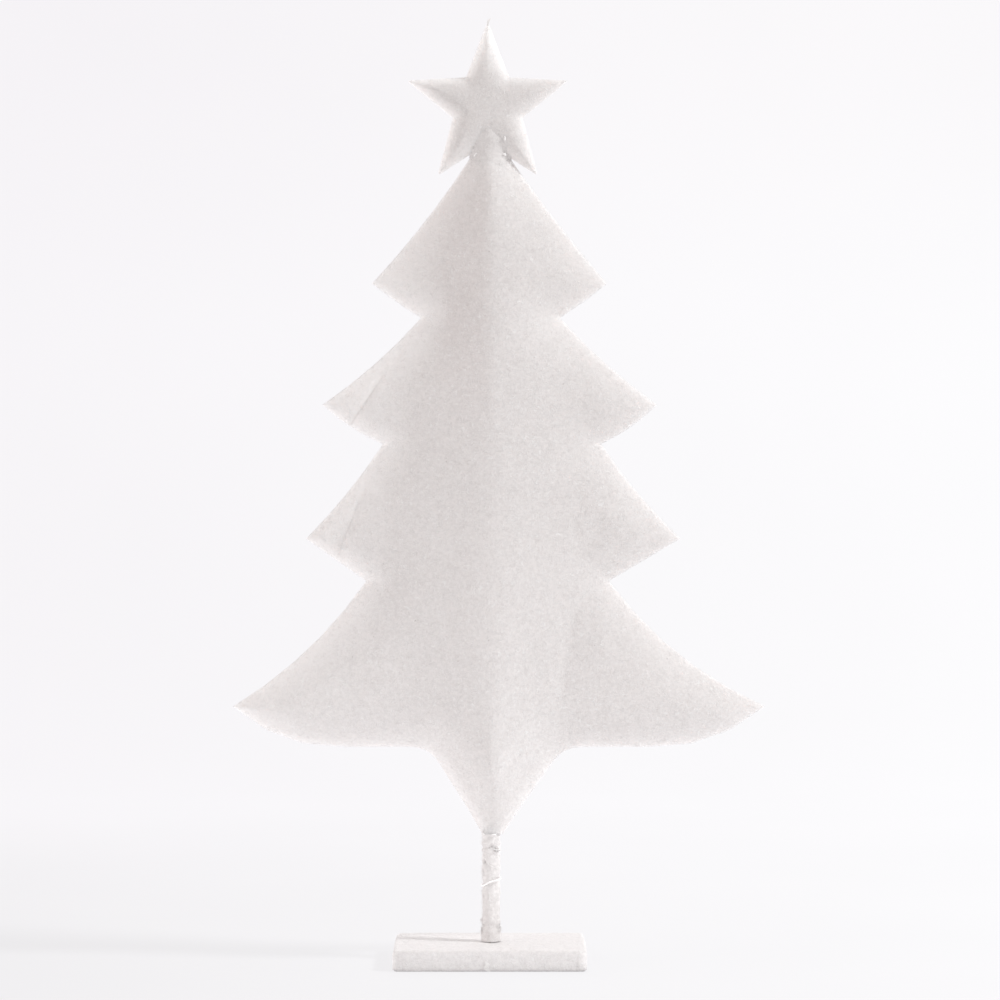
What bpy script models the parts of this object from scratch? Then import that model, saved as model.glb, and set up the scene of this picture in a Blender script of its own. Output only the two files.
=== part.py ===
"""Padded fabric christmas tree with a padded star, on a dowel in a covered base.

Metres, +Z up. The origin is under the middle of the base, on the dowel's axis, and the front faces -Y.
Each tree or star panel is a crowned sheet of fleece. A front and a back panel meet at their seam, in the
plane Y = 0, round one piece of filling, and the dowel runs up through all of it.
"""

import math
from collections import namedtuple

import bmesh
import bpy
from mathutils import Matrix, Vector

# Cloth and clearances
FLEECE = 0.0012
CLEARANCE = 0.0003

# Covered base
BASE_LENGTH = 0.122
BASE_DEPTH = 0.080
BASE_HEIGHT = 0.013
BASE_CORNER = 0.0045
BASE_EDGE = 0.0024
FOLD_WIDTH = 0.012

# Dowel, and the fleece sleeve that is lapped round it between base and tree. Its strip is rolled on clockwise,
# seen from above, and its free end lies in front, to the right of the middle.
DOWEL_DIAMETER = 0.006
DOWEL_CHAMFER = 0.0006
DOWEL_PAST_STAR_MIDDLE = 0.012
STEM_LENGTH = 0.070
LAP_START = math.radians(375)
LAP_RAMP = math.radians(50)
LAP_OVER = math.radians(80)
FOOT_FLARE = 0.0008
FOOT_HEIGHT = 0.009

# Trunk: half widths left and right of the dowel, at its mouth and where the lowest branches begin
MOUTH_LEFT = 0.0049
MOUTH_RIGHT = 0.0083
TRUNK_LEFT = 0.039
TRUNK_RIGHT = 0.047
TRUNK_RISE = 0.0542

# One tier of branches. The waist is the notch below it, the branch is how far the tip reaches beyond that,
# lift is the climb from waist to tip, and rise the climb from tip to the next waist. A sag hollows the edge
# below (under) or above (over) the tip, and a negative one swells it. Rows divide the two edges.
Tier = namedtuple(
    "Tier",
    "waist_left waist_right branch_left branch_right lift rise "
    "under over_left over_right under_rows over_rows",
)
BOTTOM_TIER = Tier(
    waist_left=0.092, waist_right=0.101, branch_left=0.072, branch_right=0.0745, lift=0.0258, rise=0.080,
    under=-0.0078, over_left=0.0062, over_right=0.0084, under_rows=3, over_rows=5,
)
THIRD_TIER = Tier(
    waist_left=0.079, waist_right=0.076, branch_left=0.0384, branch_right=0.0455, lift=0.0270, rise=0.0604,
    under=0.0, over_left=0.0020, over_right=0.0022, under_rows=3, over_rows=4,
)
SECOND_TIER = Tier(
    waist_left=0.0683, waist_right=0.0710, branch_left=0.0387, branch_right=0.0357, lift=0.0250, rise=0.0554,
    under=-0.0020, over_left=0.0026, over_right=0.0022, under_rows=3, over_rows=4,
)
TOP_TIER = Tier(
    waist_left=0.0440, waist_right=0.0447, branch_left=0.0313, branch_right=0.0301, lift=0.0220, rise=0.0830,
    under=-0.0006, over_left=0.0024, over_right=0.0014, under_rows=3, over_rows=5,
)
SHOULDER_LEFT = 0.0108
SHOULDER_RIGHT = 0.0130
TRUNK_ROWS = 4
HEM_SHARES = (0.0, 0.12, 0.30, 0.58)
TOP_ROW_DEPTH = 0.16

# Padding of the tree: half thicknesses on the ridge over the dowel and in the branches, low and high
RIDGE_LOW = 0.022
RIDGE_HIGH = 0.0125
WING_LOW = 0.0115
WING_HIGH = 0.0050
TREE_ROLL = 0.034
RIDGE_SHIFT = 0.0012
# The ridge's two flanks: how far each runs out, low and high, and how hollow it is. The right one ends in a dip.
Flank = namedtuple("Flank", "reach_low reach_high bend_low bend_high bend_climb dip")
LEFT_FLANK = Flank(reach_low=0.100, reach_high=0.046, bend_low=2.0, bend_high=1.1, bend_climb=1, dip=0)
RIGHT_FLANK = Flank(reach_low=0.052, reach_high=0.060, bend_low=1.25, bend_high=1.5, bend_climb=2, dip=0.13)
DIP_HEIGHT = 0.215
DIP_SPREAD = 0.045
# Share of a parabola in the padding's roll down to the seam. The rest is a quarter of an ellipse.
SOFT_ROLL = 0.65
HEM_LIFT = 0.6
COLUMNS = (0.0, 0.12, 0.28, 0.46, 0.64, 0.80, 0.93, 1.0)

# Star
STAR_REACH = 0.0545
STAR_NOTCH = 0.0234
STAR_SHIFT = -0.0015
STAR_CROWN = 0.0082
STAR_ROLL = 0.0125
STAR_EDGE_STEPS = 3
NECK_STEPS = (0.05, 0.10, 0.15, 0.24, 0.45, 0.72)
NECK_ROOM = 0.0007
RINGS = (0.22, 0.44, 0.64, 0.82, 0.94, 1.0)

ROUND_SIDES = 24
BEVEL_STEPS = 3


# Heights that follow from the sizes above
MOUTH_HEIGHT = BASE_HEIGHT + STEM_LENGTH
TRUNK_TOP = MOUTH_HEIGHT + TRUNK_RISE
TIERS = (BOTTOM_TIER, THIRD_TIER, SECOND_TIER, TOP_TIER)
SHOULDER_HEIGHT = TRUNK_TOP + sum(tier.lift + tier.rise for tier in TIERS)


def star_corner(radius, turns):
    """A point of the star about its own middle, as (across, up), counted in turns from straight up."""
    angle = math.tau * turns
    return Vector((radius * math.sin(angle), radius * math.cos(angle)))


# The tree's blunt top follows the star's lowest notch
NOTCH_RUN = star_corner(STAR_REACH, 0.4) - star_corner(STAR_NOTCH, 0.5)
NOTCH_SLOPE = -NOTCH_RUN.y / NOTCH_RUN.x
APEX_HEIGHT = SHOULDER_HEIGHT + (SHOULDER_LEFT + STAR_SHIFT) * NOTCH_SLOPE
RIGHT_SHOULDER_HEIGHT = APEX_HEIGHT - (SHOULDER_RIGHT - STAR_SHIFT) * NOTCH_SLOPE
STAR_HEIGHT = APEX_HEIGHT + CLEARANCE * math.hypot(1, NOTCH_SLOPE) + STAR_NOTCH
DOWEL_BOTTOM = FLEECE + CLEARANCE
DOWEL_TOP = STAR_HEIGHT + DOWEL_PAST_STAR_MIDDLE
BORE_RADIUS = (DOWEL_DIAMETER / 2 + CLEARANCE) / math.cos(math.pi / ROUND_SIDES)


def material(name, colour, roughness):
    made = bpy.data.materials.new(name)
    made.use_nodes = True
    shader = made.node_tree.nodes["Principled BSDF"]
    shader.inputs["Base Color"].default_value = (*colour, 1)
    shader.inputs["Roughness"].default_value = roughness
    shader.inputs["Metallic"].default_value = 0
    made.diffuse_color = (*colour, 1)
    return made


def piece(name, bm, surface, smooth_angle=None):
    """Turns a bmesh into a named object with one material."""
    bmesh.ops.recalc_face_normals(bm, faces=bm.faces)
    mesh = bpy.data.meshes.new(name)
    bm.to_mesh(mesh)
    bm.free()
    made = bpy.data.objects.new(name, mesh)
    bpy.context.scene.collection.objects.link(made)
    if surface:
        mesh.materials.append(surface)
    if smooth_angle:
        mesh.shade_smooth()
        mesh.set_sharp_from_angle(angle=math.radians(smooth_angle))
    return made


def cut(target, *tools):
    """Subtracts each tool from the target with an exact Boolean."""
    for tool in tools:
        tool.hide_render = True
        tool.display_type = "WIRE"
        modifier = target.modifiers.new(tool.name, "BOOLEAN")
        modifier.operation = "DIFFERENCE"
        modifier.solver = "EXACT"
        modifier.object = tool


def round_bar(bm, radius, bottom, top):
    bmesh.ops.create_cone(
        bm, cap_ends=True, segments=ROUND_SIDES, radius1=radius, radius2=radius, depth=top - bottom,
        matrix=Matrix.Translation((0, 0, (bottom + top) / 2)),
    )


def bore_tool(name, bottom, top):
    """A cutter that leaves the dowel its clearance."""
    bm = bmesh.new()
    round_bar(bm, BORE_RADIUS, bottom, top)
    return piece(name, bm, None)


def rounded_box(length, depth, bottom, top, corner, top_edge, bottom_edge):
    """A block with rounded upright corners, then rounded top and bottom edges."""
    bm = bmesh.new()
    bmesh.ops.create_cube(bm, size=1)
    bmesh.ops.scale(bm, vec=(length, depth, top - bottom), verts=bm.verts)
    bmesh.ops.translate(bm, vec=(0, 0, (bottom + top) / 2), verts=bm.verts)
    upright = [e for e in bm.edges if abs(e.verts[0].co.z - e.verts[1].co.z) > 1e-6]
    bmesh.ops.bevel(bm, geom=upright, offset=corner, segments=BEVEL_STEPS, profile=0.5, affect="EDGES")
    for height, radius in ((top, top_edge), (bottom, bottom_edge)):
        if radius:
            rim = [e for e in bm.edges if all(abs(v.co.z - height) < 1e-6 for v in e.verts)]
            bmesh.ops.bevel(bm, geom=rim, offset=radius, segments=BEVEL_STEPS, profile=0.5, affect="EDGES")
    return bm


def bent_edge(start, end, sag, steps):
    """Points from start up to, but not with, end, hollowed towards the tree by sag at the middle."""
    run = end - start
    inward = Vector((-run.y, run.x)).normalized()
    shares = [step / steps for step in range(steps)]
    return [start + run * share + inward * 4 * sag * share * (1 - share) for share in shares]


def side_outline(side):
    """One side of the tree's outline, from the trunk's mouth to the shoulder, as (reach, height)."""
    left = side == "left"
    height = TRUNK_TOP
    mouth = Vector((MOUTH_LEFT if left else MOUTH_RIGHT, MOUTH_HEIGHT))
    trunk = Vector((TRUNK_LEFT if left else TRUNK_RIGHT, TRUNK_TOP))
    points = bent_edge(mouth, trunk, 0, TRUNK_ROWS)
    corner = trunk
    for number, tier in enumerate(TIERS):
        waist = Vector((tier.waist_left if left else tier.waist_right, height))
        if number == 0:
            points += [corner.lerp(waist, share) for share in HEM_SHARES]
        tip = waist + Vector((tier.branch_left if left else tier.branch_right, tier.lift))
        points += bent_edge(waist, tip, tier.under, tier.under_rows)
        height = tip.y + tier.rise
        above = TIERS[number + 1] if number + 1 < len(TIERS) else None
        if above:
            end = Vector((above.waist_left if left else above.waist_right, height))
        else:
            end = Vector((SHOULDER_LEFT, height) if left else (SHOULDER_RIGHT, RIGHT_SHOULDER_HEIGHT))
        points += bent_edge(tip, end, tier.over_left if left else tier.over_right, tier.over_rows)
        corner = end
    # One more row runs close under the shoulder, where the padding rolls down to the top seam
    points.append(corner.lerp(points[-1], TOP_ROW_DEPTH))
    return points + [corner]


def tree_outline():
    """The whole outline as (x, z): up the left side, over the blunt top and down the right side."""
    left = [Vector((-p.x, p.y)) for p in side_outline("left")]
    right = side_outline("right")
    apex = Vector((STAR_SHIFT, APEX_HEIGHT))
    steps = len(COLUMNS) - 1
    shares = [step / steps for step in range(1, steps)]
    top_left = [left[-1].lerp(apex, share) for share in shares]
    top_right = [apex.lerp(right[-1], share) for share in shares]
    return left + top_left + [apex] + top_right + right[::-1]


def inset(points, depth, closed=False):
    """The outline moved inwards by depth, with mitred corners. Points run clockwise seen from the front."""
    moved = []
    for number, here in enumerate(points):
        before = points[number - 1] if number or closed else None
        after = points[(number + 1) % len(points)] if number + 1 < len(points) or closed else None
        normals = [
            Vector((end.y - start.y, start.x - end.x)).normalized()
            for start, end in ((before, here), (here, after))
            if start is not None and end is not None
        ]
        if len(normals) == 2:
            step = (normals[0] + normals[1]).normalized()
            moved.append(here + step * depth / step.dot(normals[0]))
        else:
            moved.append(here + Vector((depth / normals[0].x, 0)))
    return moved


def depth_inside(point, outline, closed=False):
    """The distance from a point to the outline."""
    ends = outline[1:] + outline[:1] if closed else outline[1:]
    nearest = math.inf
    for start, end in zip(outline, ends):
        run = end - start
        share = min(max((point - start).dot(run) / run.length_squared, 0), 1)
        nearest = min(nearest, (point - start - run * share).length)
    return nearest


def roll_over(depth, reach):
    """The share of full padding at a depth inside the seam."""
    parabola = 1 - (1 - min(depth / reach, 1)) ** 2
    return mix(math.sqrt(parabola), parabola, SOFT_ROLL)


def mix(low, high, share):
    return low + (high - low) * min(max(share, 0), 1)


def tree_padding(x, height, column, depth, taken):
    """The panel's height off the seam plane. A part of the panel taken off its thickness is given by taken."""
    climb = (height - TRUNK_TOP) / (SHOULDER_HEIGHT - TRUNK_TOP)
    flank = LEFT_FLANK if x < RIDGE_SHIFT else RIGHT_FLANK
    wing = mix(WING_LOW, WING_HIGH, climb)
    ridge = mix(RIDGE_LOW, RIDGE_HIGH, climb)
    across = abs(x - RIDGE_SHIFT) / mix(flank.reach_low, flank.reach_high, climb)
    tent = max(1 - across, 0) ** mix(flank.bend_low, flank.bend_high, climb * flank.bend_climb)
    dip = flank.dip * math.exp(-(((height - DIP_HEIGHT) / DIP_SPREAD) ** 2) - ((across - 1) / 0.28) ** 2)
    pillow = roll_over(depth, TREE_ROLL) * (wing * (1 - dip) + (ridge - wing) * tent - taken)
    trunk = (height - MOUTH_HEIGHT) / TRUNK_RISE
    tube = (mix(MOUTH_LEFT, RIDGE_LOW, trunk) - taken) * math.sqrt(max(1 - column**2, 0))
    return mix(tube, pillow, trunk)


def over_dowel(x, taken):
    """The arch that a panel makes over the dowel where the seam opens for it."""
    radius = DOWEL_DIAMETER / 2 + CLEARANCE + NECK_ROOM + FLEECE - taken
    return math.sqrt(max(radius**2 - x**2, 0))


def tree_grid(taken, first_row=0, arched=True):
    """Rows of (x, padding, z) from seam to seam, for the surface that lies taken inside the panel's outside."""
    outline = tree_outline()
    rows = (len(outline) - 2 * len(COLUMNS) + 3) // 2
    moved = inset(outline, taken)
    hem_first, hem_last = TRUNK_ROWS, TRUNK_ROWS + len(HEM_SHARES) + BOTTOM_TIER.under_rows
    middles = [(outline[row].y + outline[-1 - row].y) / 2 for row in range(rows)]
    for row in range(hem_first + 1, hem_last):
        share = (row - hem_first) / (hem_last - hem_first)
        middles[row] = mix(middles[hem_first], middles[hem_last], share**HEM_LIFT)
    grid = []
    for row in range(first_row, rows):
        left, right = moved[row], moved[-1 - row]
        if row == rows - 1:
            points = moved[row : len(moved) - row]
        else:
            shift = RIDGE_SHIFT * min(max((middles[row] - MOUTH_HEIGHT) / TRUNK_RISE, 0), 1)
            middle = Vector((shift, middles[row]))
            points = []
            for column in [-c for c in reversed(COLUMNS)] + list(COLUMNS[1:]):
                end = left if column < 0 else right
                share = abs(column)
                across = mix(middle.x, end.x, share)
                points.append(Vector((across, mix(middle.y, end.y, share**3))))
        columns = [-c for c in reversed(COLUMNS)] + list(COLUMNS[1:])
        line = []
        for number, (point, column) in enumerate(zip(points, columns)):
            on_seam = number in (0, len(points) - 1) or row == rows - 1
            depth = 0 if on_seam else depth_inside(point, moved)
            padding = 0 if on_seam else tree_padding(point.x, point.y, column, depth, taken)
            if arched and row >= rows - 2:
                padding = max(padding, over_dowel(point.x, taken))
            line.append((point.x, padding, point.y))
        grid.append(line)
    return grid


def star_outline():
    """The star's ten edges about its own middle, with closer points by the notch that the dowel enters."""
    corners = [star_corner(STAR_NOTCH if number % 2 else STAR_REACH, number / 10) for number in range(10)]
    even = [step / STAR_EDGE_STEPS for step in range(STAR_EDGE_STEPS)]
    outline = []
    for number, start in enumerate(corners):
        end = corners[(number + 1) % 10]
        shares = even
        if number == 4:
            shares = [0] + [1 - step for step in reversed(NECK_STEPS)]
        if number == 5:
            shares = [0] + list(NECK_STEPS)
        outline += [start.lerp(end, share) for share in shares]
    return outline


def star_grid(taken, arched=True):
    """Rings of (x, padding, z) from near the star's middle out to its seam, and the middle's padding."""
    outline = star_outline()
    moved = inset(outline, taken, closed=True)
    crown = STAR_CROWN - taken
    grid = []
    for ring in RINGS:
        line = []
        for point in moved:
            depth = 0 if ring == 1 else depth_inside(point * ring, moved, closed=True)
            padding = crown * roll_over(depth, STAR_ROLL)
            across = STAR_SHIFT + point.x * ring
            if arched and point.y < 0:
                padding = max(padding, over_dowel(across, taken))
            line.append((across, padding, STAR_HEIGHT + point.y * ring))
        grid.append(line)
    return grid, crown


def add_rows(bm, grid, side, plane):
    """Adds a grid's points on one side of the seam plane: side is -1 for the front and 1 for the back."""
    return [[bm.verts.new((x, side * (plane + padding), z)) for x, padding, z in line] for line in grid]


def skin(bm, rows, closed=False):
    """Covers a grid of points with triangles, each square split along the diagonal that its slant makes shorter."""
    for lower, upper in zip(rows, rows[1:]):
        count = len(lower) if closed else len(lower) - 1
        for number in range(count):
            on_left = number < len(lower) // 2
            end = 0 if on_left else -1
            widens = abs(upper[end].co.x) > abs(lower[end].co.x)
            after = (number + 1) % len(lower)
            a, b, c, d = lower[number], lower[after], upper[after], upper[number]
            if widens == on_left:
                corners = ((a, b, c), (a, c, d))
            else:
                corners = ((a, b, d), (b, c, d))
            for corner in corners:
                bm.faces.new(corner)


def join_lines(bm, first, second, closed=False):
    """Joins two lines of points with a strip of faces."""
    count = len(first) if closed else len(first) - 1
    for number in range(count):
        after = (number + 1) % len(first)
        bm.faces.new((first[number], first[after], second[after], second[number]))


def tree_cover(name, side, surface):
    bm = bmesh.new()
    outer = add_rows(bm, tree_grid(0), side, CLEARANCE / 2)
    inner = add_rows(bm, tree_grid(FLEECE), side, CLEARANCE / 2)
    skin(bm, outer)
    skin(bm, inner)
    join_lines(bm, outer[0], inner[0])
    join_lines(bm, outer[-1], inner[-1])
    for end in (0, -1):
        join_lines(bm, [line[end] for line in outer], [line[end] for line in inner])
    return piece(name, bm, surface, smooth_angle=50)


def tree_filling(name, surface):
    bm = bmesh.new()
    grid = tree_grid(FLEECE + CLEARANCE, first_row=1, arched=False)
    front = add_rows(bm, grid, -1, 0)
    back = add_rows(bm, grid, 1, 0)
    skin(bm, front)
    skin(bm, back)
    bm.faces.new(front[0] + back[0][::-1][1:-1])
    bmesh.ops.remove_doubles(bm, verts=bm.verts, dist=1e-6)
    return piece(name, bm, surface, smooth_angle=50)


def star_rings(bm, taken, side, plane, arched=True):
    grid, crown = star_grid(taken, arched)
    rings = add_rows(bm, grid, side, plane)
    middle = bm.verts.new((STAR_SHIFT, side * (plane + crown), STAR_HEIGHT))
    for here, after in zip(rings[0], rings[0][1:] + rings[0][:1]):
        bm.faces.new((middle, here, after))
    skin(bm, rings, closed=True)
    return rings


def star_cover(name, side, surface):
    bm = bmesh.new()
    outer = star_rings(bm, 0, side, CLEARANCE / 2)
    inner = star_rings(bm, FLEECE, side, CLEARANCE / 2)
    join_lines(bm, outer[-1], inner[-1], closed=True)
    return piece(name, bm, surface, smooth_angle=50)


def star_filling(name, surface):
    bm = bmesh.new()
    star_rings(bm, FLEECE + CLEARANCE, -1, 0, arched=False)
    star_rings(bm, FLEECE + CLEARANCE, 1, 0, arched=False)
    bmesh.ops.remove_doubles(bm, verts=bm.verts, dist=1e-6)
    return piece(name, bm, surface, smooth_angle=50)


def lapped_sleeve(name, surface):
    """A strip of fleece rolled once round the dowel, whose end climbs over its beginning."""
    first = DOWEL_DIAMETER / 2 + CLEARANCE
    step = FLEECE + CLEARANCE
    sweep = math.tau + LAP_OVER
    steps = 2 * ROUND_SIDES
    turns = [sweep * number / steps for number in range(steps + 1)]
    bottom, top = BASE_HEIGHT + CLEARANCE, MOUTH_HEIGHT - CLEARANCE
    bm = bmesh.new()
    loops = []
    for height in (bottom, bottom + FOOT_HEIGHT / 2, bottom + FOOT_HEIGHT, top):
        flare = FOOT_FLARE * max(1 - (height - bottom) / FOOT_HEIGHT, 0) ** 2
        loop = []
        for thickness, order in ((FLEECE, turns), (0, turns[::-1])):
            for turn in order:
                climbed = mix(0, step, (turn - math.tau + LAP_RAMP) / LAP_RAMP)
                radius = first + climbed + thickness + flare
                angle = LAP_START - turn
                loop.append(bm.verts.new((radius * math.cos(angle), radius * math.sin(angle), height)))
        loops.append(loop)
    for lower, upper in zip(loops, loops[1:]):
        join_lines(bm, lower, upper, closed=True)
    for loop in (loops[0], loops[-1]):
        outside, inside = loop[: len(turns)], loop[len(turns) :][::-1]
        join_lines(bm, outside, inside)
    return piece(name, bm, surface, smooth_angle=40)


def dowel(name, surface):
    bm = bmesh.new()
    round_bar(bm, DOWEL_DIAMETER / 2, DOWEL_BOTTOM, DOWEL_TOP)
    ends = [e for e in bm.edges if abs(e.verts[0].co.z - e.verts[1].co.z) < 1e-6]
    bmesh.ops.bevel(bm, geom=ends, offset=DOWEL_CHAMFER, segments=1, affect="EDGES")
    return piece(name, bm, surface, smooth_angle=30)


def base_pieces(board_wood, cover_fleece, pad_felt):
    """The board, its fleece cover folded under it, and the felt sheet in the fold's opening."""
    shell = FLEECE + CLEARANCE
    board = piece("base_board", rounded_box(
        BASE_LENGTH - 2 * shell, BASE_DEPTH - 2 * shell, shell, BASE_HEIGHT - shell,
        BASE_CORNER - shell, BASE_EDGE - shell, 0,
    ), board_wood, smooth_angle=40)
    cut(board, bore_tool("board_bore_tool", 0, BASE_HEIGHT))

    cover = piece("base_cover", rounded_box(
        BASE_LENGTH, BASE_DEPTH, 0, BASE_HEIGHT, BASE_CORNER, BASE_EDGE, BASE_EDGE / 2,
    ), cover_fleece, smooth_angle=50)
    room = piece("base_room_tool", rounded_box(
        BASE_LENGTH - 2 * FLEECE, BASE_DEPTH - 2 * FLEECE, FLEECE, BASE_HEIGHT - FLEECE,
        BASE_CORNER - FLEECE, BASE_EDGE - FLEECE, 0,
    ), None)
    window_length = BASE_LENGTH - 2 * FOLD_WIDTH
    window_depth = BASE_DEPTH - 2 * FOLD_WIDTH
    window = piece("base_window_tool", rounded_box(
        window_length, window_depth, -FLEECE, BASE_HEIGHT / 2, BASE_CORNER, 0, 0,
    ), None)
    cut(cover, room, window, bore_tool("cover_bore_tool", BASE_HEIGHT / 2, BASE_HEIGHT + FLEECE))

    pad = piece("base_pad", rounded_box(
        window_length - 2 * CLEARANCE, window_depth - 2 * CLEARANCE, 0, FLEECE,
        BASE_CORNER - CLEARANCE, 0, 0,
    ), pad_felt, smooth_angle=40)
    return board, cover, pad


def main():
    for old in list(bpy.data.objects):
        bpy.data.objects.remove(old)

    white = (0.90, 0.885, 0.88)
    wood = (0.72, 0.56, 0.38)
    pieces = list(base_pieces(
        material("base_board_wood", wood, 0.65),
        material("base_cover_fleece", white, 0.95),
        material("base_pad_felt", (0.86, 0.85, 0.84), 0.95),
    ))
    pieces.append(dowel("dowel", material("dowel_wood", wood, 0.6)))
    pieces.append(lapped_sleeve("stem_sleeve", material("stem_fleece", white, 0.95)))

    top_bore = (SHOULDER_HEIGHT - TREE_ROLL, STAR_HEIGHT)
    for name, side in (("tree_front_cover", -1), ("tree_back_cover", 1)):
        cover = tree_cover(name, side, material(name + "_fleece", white, 0.95))
        cut(cover, bore_tool(name + "_bore_tool", *top_bore))
        pieces.append(cover)
    filling = tree_filling("tree_filling", material("tree_wadding", (0.93, 0.93, 0.92), 1.0))
    cut(filling, bore_tool("tree_filling_bore_tool", MOUTH_HEIGHT, STAR_HEIGHT))
    pieces.append(filling)

    star_bore = (SHOULDER_HEIGHT, DOWEL_TOP + CLEARANCE)
    for name, side in (("star_front_cover", -1), ("star_back_cover", 1)):
        cover = star_cover(name, side, material(name + "_fleece", white, 0.95))
        cut(cover, bore_tool(name + "_bore_tool", *star_bore))
        pieces.append(cover)
    filling = star_filling("star_filling", material("star_wadding", (0.93, 0.93, 0.92), 1.0))
    cut(filling, bore_tool("star_filling_bore_tool", *star_bore))
    pieces.append(filling)

    stand = bpy.data.objects.new("padded_tree", None)
    bpy.context.scene.collection.objects.link(stand)
    for made in pieces:
        made.parent = stand


main()
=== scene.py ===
"""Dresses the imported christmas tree: padded fleece tree and star, wrapped stem and covered base.

Metres, +Z up, front towards -Y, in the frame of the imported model. The tree and the star are pillows: a front
and a back panel on one seam, blown up with Cloth and pinned along the seam and over the dowel.
"""

import math

import bmesh
import bpy
import numpy as np
from bpy.props import FloatProperty, FloatVectorProperty, IntProperty, PointerProperty
from bpy.types import Operator, Panel, PropertyGroup
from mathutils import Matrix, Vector, geometry, noise


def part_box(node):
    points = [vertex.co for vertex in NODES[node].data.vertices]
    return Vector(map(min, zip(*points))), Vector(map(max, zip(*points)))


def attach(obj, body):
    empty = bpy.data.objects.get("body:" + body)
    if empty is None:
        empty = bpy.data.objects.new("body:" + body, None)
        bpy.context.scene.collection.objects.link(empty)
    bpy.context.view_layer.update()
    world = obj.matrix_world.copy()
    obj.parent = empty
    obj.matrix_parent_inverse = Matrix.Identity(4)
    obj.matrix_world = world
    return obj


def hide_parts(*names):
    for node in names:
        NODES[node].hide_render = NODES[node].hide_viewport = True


bl_info = {
    "name": "Padded christmas tree",
    "version": (1, 0, 0),
    "blender": (4, 5, 0),
    "location": "View3D > Sidebar > Padded Tree",
    "description": "Builds a padded fleece christmas tree with its star, stem and base round the packed model",
    "category": "Object",
}

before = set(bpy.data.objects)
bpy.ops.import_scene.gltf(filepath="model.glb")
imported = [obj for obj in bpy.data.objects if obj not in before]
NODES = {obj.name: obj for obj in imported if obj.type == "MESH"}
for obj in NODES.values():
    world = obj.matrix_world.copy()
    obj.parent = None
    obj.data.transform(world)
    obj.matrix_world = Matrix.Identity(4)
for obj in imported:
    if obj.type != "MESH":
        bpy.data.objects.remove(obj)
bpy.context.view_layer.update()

# Places that the pieces share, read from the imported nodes
BASE_LOW, BASE_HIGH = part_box("base_cover")
PAD_LOW, PAD_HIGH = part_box("base_pad")
SLEEVE_LOW, SLEEVE_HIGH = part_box("stem_sleeve")
DOWEL_LOW, DOWEL_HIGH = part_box("dowel")
TREE_LOW, TREE_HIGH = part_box("tree_front_cover")
STAR_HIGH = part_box("star_front_cover")[1]
FLEECE = 0.0012
CLEARANCE = 0.0003
DOWEL_RADIUS = (DOWEL_HIGH.x - DOWEL_LOW.x) / 2

# The tree's padding, as its solids have it. Pairs are left and right, or below and above.
MOUTH_HEIGHT = TREE_LOW.z
TRUNK_RISE = 0.0542
TRUNK_TOP = MOUTH_HEIGHT + TRUNK_RISE
SHOULDER_HEIGHT = 0.5158
MOUTH_SIDES = (0.0049, 0.0083)
TRUNK_SIDES = (0.039, 0.047)
RIDGE = (0.022, 0.0125)
RIDGE_ROUND = (0.0035, 0.0065)
RIDGE_SHIFT = 0.0012
WING = (0.0115, 0.0050)
VALLEY_LEFT = (0.100, 0.046)
VALLEY_RIGHT = (0.0440, 0.062)
BEND_LEFT = (2.0, 1.4)
BEND_RIGHT = (2.05, 1.5)
TREE_ROLL = 0.034
# The dip beside the ridge on the right: its depth as a share, its height, and its reach up and across
DIP_DEPTH = 0.22
DIP_HEIGHT = 0.215
DIP_REACH = (0.045, 0.27)
# How far the mouth hangs down round the sleeve
MOUTH_DROP = 0.0012
# Where the lowest branches' hem runs into the trunk it turns in a curve of about this reach
HEM_CURVE = 0.012
# How far from the seam the cloth puckers, and how far a tip without wadding takes to its full thickness
SEAM_REACH = 0.0045
# Pressed creases in front of the branch tips, from their upper to their lower end. Beyond them lies flat cloth.
# The last numbers are the depth of the crease and how dark the painted shade along its line is.
CREASES = (
    ((-0.0638, 0.3800), (-0.0868, 0.3458), 0.0019, 0.20),
    ((-0.0829, 0.2948), (-0.0957, 0.2622), 0.0016, 0.10),
)
CREASE_WIDTH = 0.0017

# The star, as its solids have it
STAR_REACH = 0.0545
STAR_NOTCH = 0.0234
STAR_SHIFT = -0.0015
STAR_CROWN = 0.0068
STAR_ROLL = 0.0125
STAR_MIDDLE = Vector((STAR_SHIFT, STAR_HIGH.z - STAR_REACH))
NOTCH_HEIGHT = STAR_MIDDLE.y - STAR_NOTCH
NOTCH_SLOPE = 0.647
NECK_RADIUS = 0.0052
NECK_STEPS = (0.05, 0.10, 0.15, 0.24, 0.45, 0.72)
# How far out the star still stands round its lowest notch, where the tree's top is sewn to it
NOTCH_CROWN = 0.0066
# How far back from each tip the star's outline begins to round it
STAR_BLUNT = 0.0032

# The lip that the tree's top edge makes over the dowel, in front of the star, and the points along that edge
LIP_RADIUS = 0.0056
LIP_RISE = 0.0032
LIP_REACH = 0.0052
NECK_POINTS = 24
# The fold of fleece over the seam between tree and star: its middle, half its width and height, and its net
FOLD_MIDDLE = 0.0003
FOLD_REACH = 0.0134
FOLD_HEIGHT = 0.0128
FOLD_NET = (73, 61)

# How far each colour of the light spreads in cloth, as a share of red
SPREAD_RADIUS = (1.0, 0.96, 0.94)
# Cloth that is blown up: its settings and how long it moves
CLOTH = {"quality": 6, "mass": 0.15, "tension_stiffness": 12, "compression_stiffness": 12, "shear_stiffness": 6,
         "bending_stiffness": 0.6, "use_pressure": True}
CLOTH_FRAMES = 18
# How many parts a curved corner has
CURVE_STEPS = 6
# A corner of an outline that turns by more than this stays sharp
SHARP_TURN = math.radians(22)
# How many parts a loose fibre has
FIBRE_JOINTS = 4


# ---------------------------------------------------------------- settings


def number(name, text, default, low, high):
    return FloatProperty(name=name, description=text, default=default, min=low, max=high)


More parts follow.
